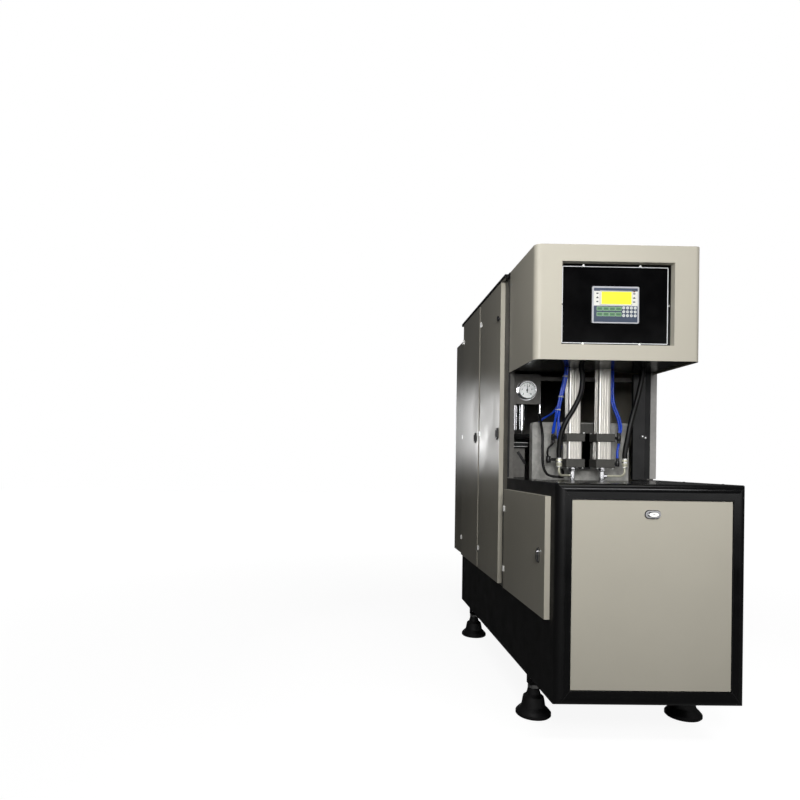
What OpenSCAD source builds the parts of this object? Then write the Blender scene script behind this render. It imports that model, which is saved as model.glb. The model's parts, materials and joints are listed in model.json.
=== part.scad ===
// Two-cavity stretch blow moulding machine with a front-to-back clamp.
// Every y value in the modules is measured back from the front face of the cabinet.

/* [Overall] */
// Width over the side sheets
body_w = 650; // [620:5:760]
// Length from the front face to the back of the tall body
body_len = 1640; // [1620:10:1760]
// Length of the cover behind the tall body
rear_len = 330; // [300:10:360]
// Height of the table above the floor
table_z = 915; // [900:5:930]
// Height of the underside of the base above the floor
base_z = 160; // [150:5:175]
// Thickness of the folded sheets
sheet_t = 2; // [1.5:0.5:3]
// Distance from the front face to the tall body
tall_y = 645; // [640:5:655]
// Height of the shelf on which the tall body stands
shelf_z = 425; // [415:5:430]
// Height of the tall body's roof
roof_z = 1827; // [1820:5:1840]
// Width of the square tubes of the base
tube_w = 50; // [40:5:50]

/* [Front] */
// Depth of the front frame
bezel_d = 45; // [40:1:60]
// Radius of the front frame's outer edge
bezel_r = 30; // [20:1:35]
// Width of the front frame's uprights
stile_w = 49; // [45:1:60]
// Height of the front frame's top and bottom rails
rail_h = 53; // [45:1:65]
// Gap round the front panel
panel_gap = 3; // [2.5:0.5:4]
// Depth of the front panel's folded edge
panel_d = 18; // [16:1:25]
// Diameter of the front panel's hinge pins
panel_pin_d = 6; // [5:0.5:8]

/* [Doors] */
// How far the side doors stand out from the sides
door_d = 20; // [16:1:24]
// Front edge of the low side doors
low_y0 = 67; // [65:1:90]
// Gap between the low side doors and the tall body
low_back = 28; // [26:1:34]
// Bottom of the side doors
door_z = 437; // [435:1:445]
// Height of the low side doors
low_h = 430; // [400:5:440]
// Distance from the top of the tall doors to the roof
door_top_in = 25; // [20:1:50]
// Distance from the tall body's front to the first tall door
door_a_in = 70; // [66:1:80]
// How much longer the second tall door is than the first
door_extra = 25; // [0:5:40]
// Gap between the two tall doors, with the hinge of the first
door_gap = 25; // [22:1:32]
// Distance from the second tall door to the back of the tall body
door_b_in = 55; // [45:1:70]
// Width of the rim round each door opening
door_rim = 20; // [16:1:24]
// Diameter of the hinge knuckles
knuckle_d = 12; // [10:1:12]
// Length of one hinge knuckle
knuckle_l = 28; // [22:1:34]
// Diameter of the hinge pins
hinge_pin_d = 6; // [5:0.5:7]

/* [Latches] */
// Length of the oval latch plate
latch_l = 52; // [44:1:60]
// Width of the oval latch plate
latch_w = 25; // [20:1:28]
// Height of the latch above its door
latch_h = 9; // [7:0.5:12]

/* [Hood] */
// Distance of the hood's sides from the body's sides
hood_in = 2.5; // [0:0.5:6]
// Distance from the front face to the hood
hood_y = 285; // [270:5:300]
// Underside of the hood
hood_z = 1382; // [1375:1:1390]
// Height of the hood
hood_h = 445; // [435:5:460]
// Radius of the hood's front corners
hood_r = 25; // [15:1:35]
// Width of the window in the hood
window_w = 437; // [420:1:460]
// Height of the window in the hood
window_h = 320; // [300:1:330]
// Height of the window's lower edge above the hood's underside
window_up = 60; // [55:1:70]
// Depth of the window's recess
window_d = 30; // [20:1:40]
// Thickness of the control plate
plate_t = 3; // [2:0.5:5]
// Width of the control unit
hmi_w = 183; // [170:1:200]
// Height of the control unit
hmi_h = 143; // [130:1:160]
// Distance of the hood's floor above the hood's underside
floor_up = 8; // [5:1:12]
// Thickness of the hood's floor
floor_t = 8; // [6:1:10]

/* [Blow heads] */
// Distance from the front face to the blow axes
blow_y = 572; // [570:1:575]
// Distance between the two blow axes
pitch = 128; // [120:1:136]
// Width of the stretch cylinder's tube
tube_sq = 54; // [52:1:60]
// Bore of the stretch cylinder
stretch_bore = 40; // [36:1:42]
// Length of the stretch cylinder's tube
stretch_len = 360; // [355:5:380]
// Underside of the stretch cylinder's tube
stretch_z = 1112; // [1110:1:1116]
// Thickness of the flange between the cylinders
flange_t = 34; // [30:1:38]
// Width of the flanges
flange_sq = 80; // [78:1:84]
// Width of the seal cylinder's body
seal_sq = 64; // [62:1:68]
// Bore of the seal cylinder
seal_bore = 50; // [46:1:51]
// Length of the seal cylinder's body
seal_len = 75; // [75:1:80]
// Thickness of the seal cylinder's lower flange
cap_t = 36; // [30:1:38]
// Diameter of the hollow seal spindle
spindle_d = 20; // [18:1:22]
// Bore of the seal spindle
spindle_bore = 13; // [12.5:0.5:14]
// Diameter of the stretch rod
rod_d = 12; // [10:0.5:12]
// Length of the blow nozzle below the lower flange
nozzle_len = 59; // [55:1:62]
// Diameter of the blow nozzle
nozzle_d = 24; // [22:1:28]
// Sliding clearance of the rods and pistons, on the radius
slide_gap = 0.05; // [0.03:0.01:0.08]

/* [Mould and clamp] */
// Width of the mould
mould_w = 300; // [280:5:320]
// Height of the mould
mould_h = 250; // [245:5:260]
// Top of the mould
mould_z = 840; // [835:1:845]
// Thickness of one mould half
mould_t = 75; // [70:1:78]
// Diameter of the bottle cavity
bottle_d = 76; // [60:1:84]
// Diameter of the bottle's neck
neck_d = 28; // [26:1:32]
// Thickness of the platens
platen_t = 40; // [35:1:45]
// Width of the moving platen
platen_w = 430; // [420:5:440]
// Top of the moving platen
platen_top = 1165; // [1160:1:1170]
// Bottom of the platens above the floor
platen_z = 470; // [465:1:480]
// Diameter of the tie bars and guide rods
bar_d = 40; // [35:1:44]
// Distance of the tie bars from the middle
bar_x = 165; // [160:1:170]
// Height of the tie bars
bar_z = 520; // [515:1:530]
// Distance of the guide rods from the middle
guide_x = 180; // [175:1:185]
// Height of the guide rods
guide_z = 1085; // [1075:1:1090]
// Distance from the back of the tall body to the rear platen
platen_back = 350; // [340:5:370]
// Bore of the clamp cylinder
clamp_bore = 160; // [150:1:170]
// Diameter of the clamp rod
clamp_rod_d = 50; // [45:1:60]
// Height of the clamp axis
clamp_z = 720; // [715:1:725]

/* [Feet] */
// Distance from the front face to the front feet
foot_y = 330; // [300:5:345]
// Distance from the back of the tall body to the rear feet
foot_back = 210; // [200:5:240]
// Distance of the feet from the sides
foot_in = 30; // [24:1:31]
// Diameter of the foot pads
foot_d = 134; // [120:1:150]
// Width of the square stubs over the feet
stub_w = 42; // [40:1:46]

/* [Gauge] */
// Diameter of the pressure gauge
gauge_d = 81; // [76:1:90]
// Height of the gauge
gauge_z = 1309; // [1306:1:1312]
// Width of the gauge plate
gauge_plate_w = 127; // [120:1:130]
// Height of the gauge plate
gauge_plate_h = 135; // [130:1:140]

/* [Hidden] */

$fn = 64;
eps = 0.01;
half_w = body_w / 2;
hood_w = body_w - 2 * hood_in;
low_len = tall_y - low_back - low_y0;
tall_h = roof_z - door_top_in - door_z;
door_a_y = tall_y + door_a_in;
door_run = body_len - door_b_in - door_a_y - door_gap;
door_a_len = (door_run - door_extra) / 2;
door_b_len = door_a_len + door_extra;
door_b_y = door_a_y + door_a_len + door_gap;
rear_platen_y = body_len - platen_back;
foot_x = half_w - foot_in;
foot_pitch = body_len - foot_back - foot_y;
latch_out = latch_h + 0.3 - 3;
front_y = (latch_out - body_len - rear_len) / 2;
hood_y1 = tall_y;
hood_top = hood_z + hood_h;
post_w = 28;
post_d = 60;
panel_recess = 3;
panel_axis = 6;
open_x = half_w - stile_w;
open_z0 = base_z + rail_h;
open_z1 = table_z - rail_h;
panel_z0 = open_z0 + panel_gap;
panel_z1 = open_z1 - panel_gap;
panel_x = open_x - panel_gap;
hinge_out = 0.6 * door_d;
hinge_back = 8;
seat_gap = 0.3;
grommet_gap = 5;
bundle_hole_d = 30;
roof_t = 30;
window_z = hood_z + window_up;
hmi_z = window_z + window_h / 2;
plate_y = hood_y + window_d;
floor_z = hood_z + floor_up;
flange_z = stretch_z - flange_t;
seal_z = flange_z - seal_len;
cap_z = seal_z - cap_t;
nozzle_z = cap_z - nozzle_len;
nozzle_stroke = 50;
piston_t = 15;
platen_y = blow_y + mould_t;
front_platen_y = blow_y - mould_t - platen_t;
bottle_z = mould_z - mould_h + 15;
inner_x = half_w - post_w;
roof_in = roof_z - roof_t;
rail_t = 40;
latch_drop = 46;
latch_shaft_d = 9.4;
latch_bar_t = 3;
stub_h = 40;
stud_d = 20;
stud_z = 30;
nut_t = 12;
nut_w = 46;
pad_h = base_z - stub_h - nut_t;
cover_x = half_w - 8;
cover_r = 20;
cover_h = 1310;
vent_n = 7;
vent_pitch = 22;
low_hinges = [door_z + 70, door_z + low_h - 98];
tall_hinges = [door_z + 90, door_z + tall_h / 2, door_z + tall_h - 118];
low_latch_y = low_y0 + 67;
low_latch_z = door_z + low_h * 0.5;
latch_a_y = door_a_y + 38;
latch_b_y = door_b_y + 70;
tall_latch_z = 1115;
hmi_rim = 9;
hmi_rim_t = 6;
hmi_deep = 45;
lcd_w = 118;
lcd_h = 48;
lcd_x = 4;
lcd_z = hmi_z + 3;
guard_x = platen_w / 2 + 18;
guard_latch_x = inner_x - 18;
guard_latch_z = 1105;
guard_rail_d = 32;
shield_y = tall_y + 50;
shield_h = 135;
guard_rail_z = table_z + shield_h - 1 + guard_rail_d / 2;
wing_scale = 0.6;
gauge_x = inner_x - gauge_plate_w / 2;
gauge_y = tall_y + 37;
filter_w = 34;
filter_h = 190;
filter_pitch = filter_w + 1.4;
filter_x = inner_x - filter_w / 2 - 1.4;
filter_y = tall_y + 56 + filter_w / 2;
riser_x = 161;
pipe_run = 92;
pipe_turn = 35;
pipe_bend = 20;
pipe_d = 8;
pipe_z = nozzle_z + 24;
ferrule_z = nozzle_z + 60;
hose_x = pitch / 2 + pipe_run * cos(pipe_turn);
hose_y = blow_y - pipe_run * sin(pipe_turn);
seal_piston_z = seal_z + nozzle_stroke + 2;
rod_top = stretch_z + stretch_len - 24;
guide_t = 30;
guide_plate_h = 100;
guide_y = (door_a_y + door_a_len + door_b_y) / 2 - guide_t / 2;
cyl_len = 190;
cyl_end_t = 20;
inlet_x = half_w - 145;
inlet_z = 300;
inlet_body_d = 34;
inlet_bore = 19;
grey = [0.36, 0.36, 0.37];
black = [0.10, 0.10, 0.11];
beige = [0.78, 0.76, 0.70];
chrome = [0.80, 0.80, 0.82];
alu = [0.74, 0.74, 0.74];
steel = [0.52, 0.52, 0.54];

// Moves a piece from front-face measure to the shared frame
module place() translate([0, front_y, 0]) children();

// Box from its two x, y and z limits
module span(x0, x1, y0, y1, z0, z1) translate([x0, y0, z0]) cube([x1 - x0, y1 - y0, z1 - z0]);

// Cylinder along y
module rod_y(x, z, y0, y1, d) translate([x, y0, z]) rotate([-90, 0, 0]) cylinder(h = y1 - y0, d = d);

// Cylinder along x
module rod_x(y, z, x0, x1, d) translate([x0, y, z]) rotate([0, 90, 0]) cylinder(h = x1 - x0, d = d);

// Square outline with round corners
module round_rect(w, h, r) {
    square([w - 2 * r, h], center = true);
    square([w, h - 2 * r], center = true);
    for (sx = [-1, 1], sy = [-1, 1]) translate([sx * (w / 2 - r), sy * (h / 2 - r)]) circle(r);
}

// Block whose four front edges are rounded, the core of the front frame
module soft_front(inset, r) {
    intersection() {
        span(-half_w, half_w, 0, bezel_d, base_z, table_z);
        translate([0, 0, base_z + inset]) linear_extrude(table_z - base_z - 2 * inset) {
            translate([-half_w + inset, inset + r]) square([body_w - 2 * inset, bezel_d - r]);
            translate([-half_w + inset + r, inset]) square([body_w - 2 * inset - 2 * r, r + eps]);
            for (s = [-1, 1]) translate([s * (half_w - inset - r), inset + r]) circle(r);
        }
        translate([-half_w, 0, 0]) rotate([90, 0, 90]) linear_extrude(body_w) {
            translate([inset + r, base_z + inset]) square([bezel_d - r, table_z - base_z - 2 * inset]);
            translate([inset, base_z + inset + r]) square([r + eps, table_z - base_z - 2 * inset - 2 * r]);
            for (z = [base_z + inset + r, table_z - inset - r]) translate([inset + r, z]) circle(r);
        }
    }
}

module front_bezel() color(black) place() difference() {
    soft_front(0, bezel_r);
    difference() {
        soft_front(sheet_t, bezel_r - sheet_t);
        span(-open_x - sheet_t, open_x + sheet_t, -1, bezel_d + 1, open_z0 - sheet_t, open_z1 + sheet_t);
    }
    span(-open_x, open_x, -1, bezel_d + 1, open_z0, open_z1);
    for (s = [-1, 1])
        rod_x(panel_recess + panel_axis, panel_z0 + panel_axis, s * open_x - 4, s * open_x + 4,
            panel_pin_d + 2 * slide_gap);
}

module front_panel() color(beige) place() {
    difference() {
        span(-panel_x, panel_x, panel_recess, panel_recess + panel_d, panel_z0, panel_z1);
        span(-panel_x + sheet_t, panel_x - sheet_t, panel_recess + sheet_t, panel_recess + panel_d + 1,
            panel_z0 + sheet_t, panel_z1 - sheet_t);
        translate([0, panel_recess - 1, panel_z1 - latch_drop]) rotate([-90, 0, 0]) cylinder(h = 4, d = 10);
    }
    for (s = [-1, 1])
        rod_x(panel_recess + panel_axis, panel_z0 + panel_axis, min(s * (panel_x - 8), s * (open_x + 1.5)),
            max(s * (panel_x - 8), s * (open_x + 1.5)), panel_pin_d);
}

// Oval latch that lies in the xz plane at y = 0 and stands out towards -y
module latch() {
    rotate([90, 0, 0]) {
        translate([0, 0, seat_gap]) linear_extrude(latch_h * 0.45) {
            square([latch_l - latch_w, latch_w], center = true);
            for (s = [-1, 1]) translate([s * (latch_l - latch_w) / 2, 0]) circle(d = latch_w);
        }
        translate([0, 0, seat_gap]) linear_extrude(latch_h) {
            square([latch_l * 0.5, latch_w * 0.3], center = true);
            for (s = [-1, 1]) translate([s * latch_l * 0.25, 0]) circle(d = latch_w * 0.3);
        }
        translate([0, 0, -12]) cylinder(h = 12 + latch_h * 0.3, d = latch_shaft_d);
        translate([0, 0, -12]) linear_extrude(3) square([14, 30], center = true);
    }
}

module front_latch() color(chrome) place() translate([0, panel_recess, panel_z1 - latch_drop]) latch();

// Side sheet of the base, drawn on the right: low under the tall body, full height in front
module base_side() difference() {
    union() {
        span(half_w - sheet_t, half_w, bezel_d, body_len, base_z, shelf_z);
        span(half_w - sheet_t, half_w, bezel_d, tall_y, base_z, table_z - sheet_t);
        span(half_w - 20, half_w - sheet_t + eps, bezel_d, body_len - sheet_t, base_z, base_z + sheet_t);
    }
    span(half_w - sheet_t - 1, half_w + 1, low_y0 + door_rim, low_y0 + low_len - door_rim,
        door_z + door_rim, door_z + low_h - door_rim);
    for (f = [0, 1]) span(half_w - 21, half_w - sheet_t, foot_y + f * foot_pitch - stub_w / 2 - 1,
        foot_y + f * foot_pitch + stub_w / 2 + 1, base_z - 1, base_z + sheet_t + 1);
}

module left_base_side() color(black) place() mirror([1, 0, 0]) base_side();
module right_base_side() color(black) place() base_side();

module base_rear_panel() color(black) place() difference() {
    span(-half_w + sheet_t, half_w - sheet_t, body_len - sheet_t, body_len, base_z, shelf_z);
    rod_y(inlet_x, inlet_z, body_len - 5, body_len + 5, inlet_body_d);
}

// Weldment of square tubes inside the base, with the stubs over the feet
module base_frame() color(black) place() difference() {
    union() {
        rail_in = half_w - sheet_t;
        for (s = [-1, 1]) {
            x0 = min(s * rail_in, s * (rail_in - tube_w));
            x1 = max(s * rail_in, s * (rail_in - tube_w));
            span(x0, x1, bezel_d, body_len - sheet_t, base_z + sheet_t, base_z + tube_w);
            span(x0, x1, tall_y, body_len - sheet_t, shelf_z - tube_w, shelf_z);
            for (y = [bezel_d, tall_y - 30]) span(x0, x1, y, y + 30, base_z + sheet_t, table_z - sheet_t);
            for (y = [tall_y, body_len - sheet_t - tube_w])
                span(x0, x1, y, y + tube_w, base_z + sheet_t, shelf_z);
        }
        for (y = [bezel_d, front_platen_y - 5, tall_y, rear_platen_y - 5, body_len - sheet_t - tube_w])
            span(-rail_in, rail_in, y, y + tube_w, base_z + sheet_t, base_z + tube_w);
        for (y = [tall_y, rear_platen_y - 5, body_len - sheet_t - tube_w])
            span(-rail_in, rail_in, y, y + tube_w, shelf_z - tube_w, shelf_z);
        for (s = [-1, 1], f = [0, 1]) {
            span(s * foot_x - stub_w / 2, s * foot_x + stub_w / 2, foot_y + f * foot_pitch - stub_w / 2,
                foot_y + f * foot_pitch + stub_w / 2, base_z - stub_h, base_z + tube_w);
        }
    }
    for (s = [-1, 1], f = [0, 1])
        translate([s * foot_x, foot_y + f * foot_pitch, base_z - stub_h - 1]) cylinder(h = 61, d = stud_d);
}

module foot_pads() color(black) place() for (s = [-1, 1], f = [0, 1]) {
    translate([s * foot_x, foot_y + f * foot_pitch, 0]) difference() {
        rotate_extrude($fn = 48) polygon([[0, 0], [foot_d * 0.46, 0], [foot_d / 2, 5], [foot_d / 2, 15],
            [foot_d * 0.44, 25], [foot_d * 0.34, 38], [foot_d * 0.31, 62], [foot_d * 0.29, 74],
            [stub_w / 2 + 6, 84], [stub_w / 2, pad_h], [0, pad_h]]);
        translate([0, 0, stud_z]) cylinder(h = base_z, d = stud_d);
    }
}

module foot_studs() color(steel) place() for (s = [-1, 1], f = [0, 1]) {
    translate([s * foot_x, foot_y + f * foot_pitch, 0]) {
        translate([0, 0, stud_z]) cylinder(h = base_z - stub_h - stud_z + 59, d = stud_d);
        translate([0, 0, pad_h]) cylinder(h = nut_t, d = nut_w, $fn = 6);
    }
}

module table_top() color(black) place() difference() {
    span(-half_w, half_w, bezel_d, tall_y, table_z - sheet_t, table_z);
    span(-platen_w / 2 - 20, platen_w / 2 + 20, front_platen_y - 12, tall_y + 1, table_z - 5, table_z + 1);
}

// One side of the tall body: posts and rails round the two door openings, drawn on the right
module tall_side() difference() {
    span(inner_x, half_w, tall_y, body_len, shelf_z, roof_z - roof_t);
    span(inner_x - 1, half_w + 1, door_a_y + door_rim, door_a_y + door_a_len - door_rim,
        door_z + door_rim, door_z + tall_h - door_rim);
    span(inner_x - 1, half_w + 1, door_b_y + door_rim, door_b_y + door_b_len - door_rim,
        door_z + door_rim, door_z + tall_h - door_rim);
    span(inner_x - 1, half_w - 4, tall_y + post_d, door_a_y, door_z + door_rim,
        door_z + tall_h - door_rim);
}

module body_frame() color(grey) place() {
    tall_side();
    mirror([1, 0, 0]) tall_side();
    for (y = [tall_y, body_len - rail_t])
        span(-inner_x - eps, inner_x + eps, y, y + rail_t, roof_in - rail_t, roof_in);
    span(-inner_x - eps, inner_x + eps, tall_y + rail_t, tall_y + 56, hood_z - 28, hood_z - 10);
    span(-inner_x - eps, inner_x + eps, body_len - rail_t, body_len, shelf_z, shelf_z + rail_t);
}

module body_roof() color(black) place() difference() {
    span(-half_w, half_w, tall_y, body_len, roof_z - roof_t, roof_z);
    span(-half_w + sheet_t, half_w - sheet_t, tall_y + sheet_t, body_len - sheet_t, roof_z - roof_t - 1,
        roof_z - sheet_t);
}

module rear_panel() color(grey) place()
    span(-inner_x, inner_x, body_len - sheet_t, body_len, shelf_z + rail_t, roof_in - rail_t);

module rear_cover() color(beige) place() difference() {
    translate([0, body_len, shelf_z]) linear_extrude(cover_h) {
        translate([-cover_x, 0]) square([2 * cover_x, rear_len - cover_r]);
        translate([-cover_x + cover_r, 0]) square([2 * (cover_x - cover_r), rear_len]);
        for (s = [-1, 1]) translate([s * (cover_x - cover_r), rear_len - cover_r]) circle(cover_r);
    }
    span(-cover_x + sheet_t, cover_x - sheet_t, body_len - 1, body_len + rear_len - cover_r,
        shelf_z + sheet_t, shelf_z + cover_h - sheet_t);
    span(-cover_x + cover_r, cover_x - cover_r, body_len - 1, body_len + rear_len - sheet_t,
        shelf_z + sheet_t, shelf_z + cover_h - sheet_t);
    for (i = [0 : vent_n - 1], k = [-1, 1])
        span(k * 110 - 80, k * 110 + 80, body_len + rear_len - 5, body_len + rear_len + 1,
            shelf_z + cover_h - 120 - i * vent_pitch, shelf_z + cover_h - 120 - i * vent_pitch + 7);
}

// Door pan with its hinge knuckles, drawn on the right side; it turns about its back edge
module door(y0, len, z0, h, hinges) {
    x0 = half_w + seat_gap;
    x1 = half_w + door_d;
    difference() {
        span(x0, x1, y0, y0 + len, z0, z0 + h);
        span(x0 - 1, x1 - sheet_t, y0 + sheet_t, y0 + len - sheet_t, z0 + sheet_t, z0 + h - sheet_t);
    }
    for (z = hinges) {
        translate([half_w + hinge_out, y0 + len + hinge_back, z]) difference() {
            union() {
                cylinder(h = knuckle_l, d = knuckle_d);
                translate([knuckle_d / 2 - 3, -hinge_back - 1, 0])
                    cube([3, hinge_back + 1, knuckle_l]);
            }
            translate([0, 0, -1]) cylinder(h = knuckle_l + 2, d = hinge_pin_d + 2 * slide_gap);
        }
    }
}

module left_low_door() color(beige) place() mirror([1, 0, 0]) low_door();
module right_low_door() color(beige) place() low_door();
module low_door() difference() {
    door(low_y0, low_len, door_z, low_h, low_hinges);
    latch_hole(low_latch_y, low_latch_z);
}
module tall_door(y0, len, latch_y) difference() {
    door(y0, len, door_z, tall_h, tall_hinges);
    latch_hole(latch_y, tall_latch_z);
}
module latch_hole(y, z)
    rod_x(y, z, half_w + door_d - sheet_t - 1, half_w + door_d + 1, latch_shaft_d + 0.2);
module left_door_a() color(beige) place() mirror([1, 0, 0]) tall_door(door_a_y, door_a_len, latch_a_y);
module left_door_b() color(beige) place() mirror([1, 0, 0]) tall_door(door_b_y, door_b_len, latch_b_y);
module right_door_a() color(beige) place() tall_door(door_a_y, door_a_len, latch_a_y);
module right_door_b() color(beige) place() tall_door(door_b_y, door_b_len, latch_b_y);

// Latch on a side door, drawn on the right
module side_latch(y, z) translate([half_w + door_d, y, z]) rotate([0, -90, 90]) latch();
module left_low_latch() color(chrome) place() mirror([1, 0, 0]) side_latch(low_latch_y, low_latch_z);
module right_low_latch() color(chrome) place() side_latch(low_latch_y, low_latch_z);
module left_latch_a() color(black) place() mirror([1, 0, 0]) side_latch(latch_a_y, tall_latch_z);
module left_latch_b() color(black) place() mirror([1, 0, 0]) side_latch(latch_b_y, tall_latch_z);
module right_latch_a() color(black) place() side_latch(latch_a_y, tall_latch_z);
module right_latch_b() color(black) place() side_latch(latch_b_y, tall_latch_z);

// Lower knuckles with their pins, welded to the sides
module pin_set(y, hinges) for (z = hinges) translate([half_w + hinge_out, y + hinge_back, z]) {
    translate([0, 0, -knuckle_l - seat_gap]) cylinder(h = knuckle_l, d = knuckle_d);
    translate([0, 0, -seat_gap - eps]) cylinder(h = knuckle_l * 0.9, d = hinge_pin_d);
    translate([-hinge_out, -2, -knuckle_l - seat_gap]) cube([hinge_out, 4, knuckle_l]);
}
module pin_side() {
    pin_set(low_y0 + low_len, low_hinges);
    pin_set(door_a_y + door_a_len, tall_hinges);
    pin_set(door_b_y + door_b_len, tall_hinges);
}
module hinge_pins() color(steel) place() {
    pin_side();
    mirror([1, 0, 0]) pin_side();
}

// Plan outline of the hood
module hood_plan(inset) {
    r = hood_r - inset;
    x = hood_w / 2 - inset;
    translate([-x, hood_y + hood_r]) square([2 * x, hood_y1 - hood_y - hood_r]);
    translate([-x + r, hood_y + inset]) square([2 * (x - r), hood_r - inset + eps]);
    for (s = [-1, 1]) translate([s * (x - r), hood_y + hood_r]) circle(r);
}

module hood_shell() color(beige) place() difference() {
    union() {
        difference() {
            translate([0, 0, hood_z]) linear_extrude(hood_h) hood_plan(0);
            translate([0, 0, hood_z - 1]) linear_extrude(hood_h + 1 - sheet_t) hood_plan(sheet_t);
            span(-hood_w / 2 + sheet_t, hood_w / 2 - sheet_t, hood_y1 - 1, hood_y1 + 1, hood_z - 1,
                hood_top - sheet_t);
        }
        span(-window_w / 2 - sheet_t, window_w / 2 + sheet_t, hood_y + eps, plate_y, window_z - sheet_t,
            window_z + window_h + sheet_t);
    }
    span(-window_w / 2, window_w / 2, hood_y - 1, plate_y + 1, window_z, window_z + window_h);
}

module hood_floor() color(black) place() difference() {
    span(-hood_w / 2 + sheet_t, hood_w / 2 - sheet_t, hood_y + hood_r, hood_y1, floor_z, floor_z + floor_t);
    for (s = [-1, 1]) translate([s * pitch / 2, blow_y, floor_z - 1])
        linear_extrude(floor_t + 2) square(tube_sq + 1, center = true);
    for (p = [left_route[8], right_route[7]])
        translate([p[0], p[1], floor_z - 1]) cylinder(h = floor_t + 2, d = hose_d + grommet_gap);
    for (p = [left_tube[0], right_tube[0]])
        translate([p[0], p[1], floor_z - 1]) cylinder(h = floor_t + 2, d = bundle_hole_d);
}

module control_plate() color(black) place() difference() {
    span(-window_w / 2 - sheet_t, window_w / 2 + sheet_t, plate_y, plate_y + plate_t, window_z - sheet_t,
        window_z + window_h + sheet_t);
    span(-hmi_w / 2 + hmi_rim - 1, hmi_w / 2 - hmi_rim + 1, plate_y - 1, plate_y + plate_t + 1,
        hmi_z - hmi_h / 2 + hmi_rim - 1, hmi_z + hmi_h / 2 - hmi_rim + 1);
}

module panel_screws() color(chrome) place() for (p = [
    [-window_w * 0.29, window_z + window_h - 8], [window_w * 0.22, window_z + window_h - 8],
    [-window_w * 0.29, window_z + 8], [window_w * 0.22, window_z + 8],
    [-window_w / 2 + 8, hmi_z], [window_w / 2 - 8, hmi_z]])
    translate([p[0], plate_y, p[1]]) rotate([90, 0, 0]) {
        cylinder(h = 3, d = 9);
        translate([0, 0, 2.9]) cylinder(h = 1.6, d1 = 8.6, d2 = 5);
    }

module hmi_housing() color([0.78, 0.78, 0.80]) place() difference() {
    union() {
        translate([0, plate_y, hmi_z]) rotate([90, 0, 0]) linear_extrude(hmi_rim_t)
            round_rect(hmi_w, hmi_h, 5);
        span(-hmi_w / 2 + hmi_rim, hmi_w / 2 - hmi_rim, plate_y - eps, plate_y + hmi_deep,
            hmi_z - hmi_h / 2 + hmi_rim, hmi_z + hmi_h / 2 - hmi_rim);
    }
    span(lcd_x - lcd_w / 2, lcd_x + lcd_w / 2, plate_y - 7, plate_y - 3, lcd_z, lcd_z + lcd_h);
}

module hmi_display() color([0.98, 0.95, 0.2]) place()
    span(lcd_x - lcd_w / 2, lcd_x + lcd_w / 2, plate_y - 4.5, plate_y - 3, lcd_z, lcd_z + lcd_h);

module gauge_plate() color(grey) place() difference() {
    span(-inner_x, gauge_plate_w - inner_x, gauge_y, gauge_y + 3, hood_z - gauge_plate_h, hood_z);
    rod_y(-gauge_x, gauge_z, gauge_y - 1, gauge_y + 4, gauge_d * 0.8);
}

module gauge_body() color(chrome) place() translate([-gauge_x, gauge_y, gauge_z]) rotate([90, 0, 0]) {
    difference() {
        union() {
            translate([0, 0, -16]) cylinder(h = 17, d = gauge_d * 0.8);
            cylinder(h = 3, d = gauge_d * 1.12);
            cylinder(h = 18, d = gauge_d);
        }
        translate([0, 0, 8]) cylinder(h = 11, d = gauge_d - 8);
    }
    translate([0, 0, 7.5]) cylinder(h = 3.5, d = 6);
    translate([0, 0, -20]) cylinder(h = 5, d = 14);
}

module gauge_needle() color(black) place() translate([-gauge_x, gauge_y, gauge_z]) rotate([90, 0, 0])
    translate([0, 0, 11.3]) {
        cylinder(h = 2, d = 9);
        linear_extrude(1) polygon([[-2.2, -12], [2.2, -12], [0.6, gauge_d * 0.34], [-0.6, gauge_d * 0.34]]);
    }

// Narrow guard beside the right post and the low plate beside the left one
module front_guard() color(black) place() {
    difference() {
        span(guard_x, inner_x, tall_y, tall_y + 16, table_z, hood_z);
        span(guard_x + sheet_t, inner_x + 1, tall_y + sheet_t, tall_y + 17, table_z + sheet_t,
            hood_z - sheet_t);
        rod_y(guard_latch_x, guard_latch_z, tall_y - 1, tall_y + 4, latch_shaft_d * wing_scale + 0.6);
    }
    span(-inner_x, -guard_x, shield_y, shield_y + 3, table_z - sheet_t, table_z + shield_h);
    rod_x(shield_y + 1.5, guard_rail_z, -inner_x, -guard_x + 8, guard_rail_d);
    translate([-guard_x - 38, shield_y - 3.5, table_z + shield_h - 20]) rotate([0, 57, 0])
        cube([62, 3.6, 12]);
}
module guard_latch() color(chrome) place()
    translate([guard_latch_x, tall_y, guard_latch_z]) scale(wing_scale) latch();

module air_filters() color(chrome) place() {
    for (i = [0, 1]) translate([i * filter_pitch - filter_x, filter_y, hood_z - 60]) {
        translate([-filter_w / 2, -filter_w / 2, 0]) cube([filter_w, filter_w, 50]);
        translate([0, 0, -filter_h]) cylinder(h = filter_h, d = filter_w - 6);
        translate([0, 0, -filter_h - 14]) cylinder(h = 14, d1 = 14, d2 = filter_w - 10);
    }
    span(-filter_x, -riser_x, filter_y - 4.5, filter_y + 4.5, hood_z - 40, hood_z - 31);
    translate([-riser_x, filter_y, platen_top + 10]) cylinder(h = hood_z - 28 - platen_top - 10, d = 9);
}

// Fluted outline of a profile cylinder tube
module profile_tube(w) difference() {
    round_rect(w, w, w * 0.16);
    for (a = [0 : 3]) rotate(a * 90) for (k = [-1, 0, 1])
        translate([w / 2, k * w * 0.2]) circle(w * 0.045, $fn = 24);
}

module stretch_tubes() color(alu) place() for (s = [-1, 1])
    translate([s * pitch / 2, blow_y, stretch_z]) linear_extrude(stretch_len) difference() {
        profile_tube(tube_sq);
        circle(d = stretch_bore);
    }

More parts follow.
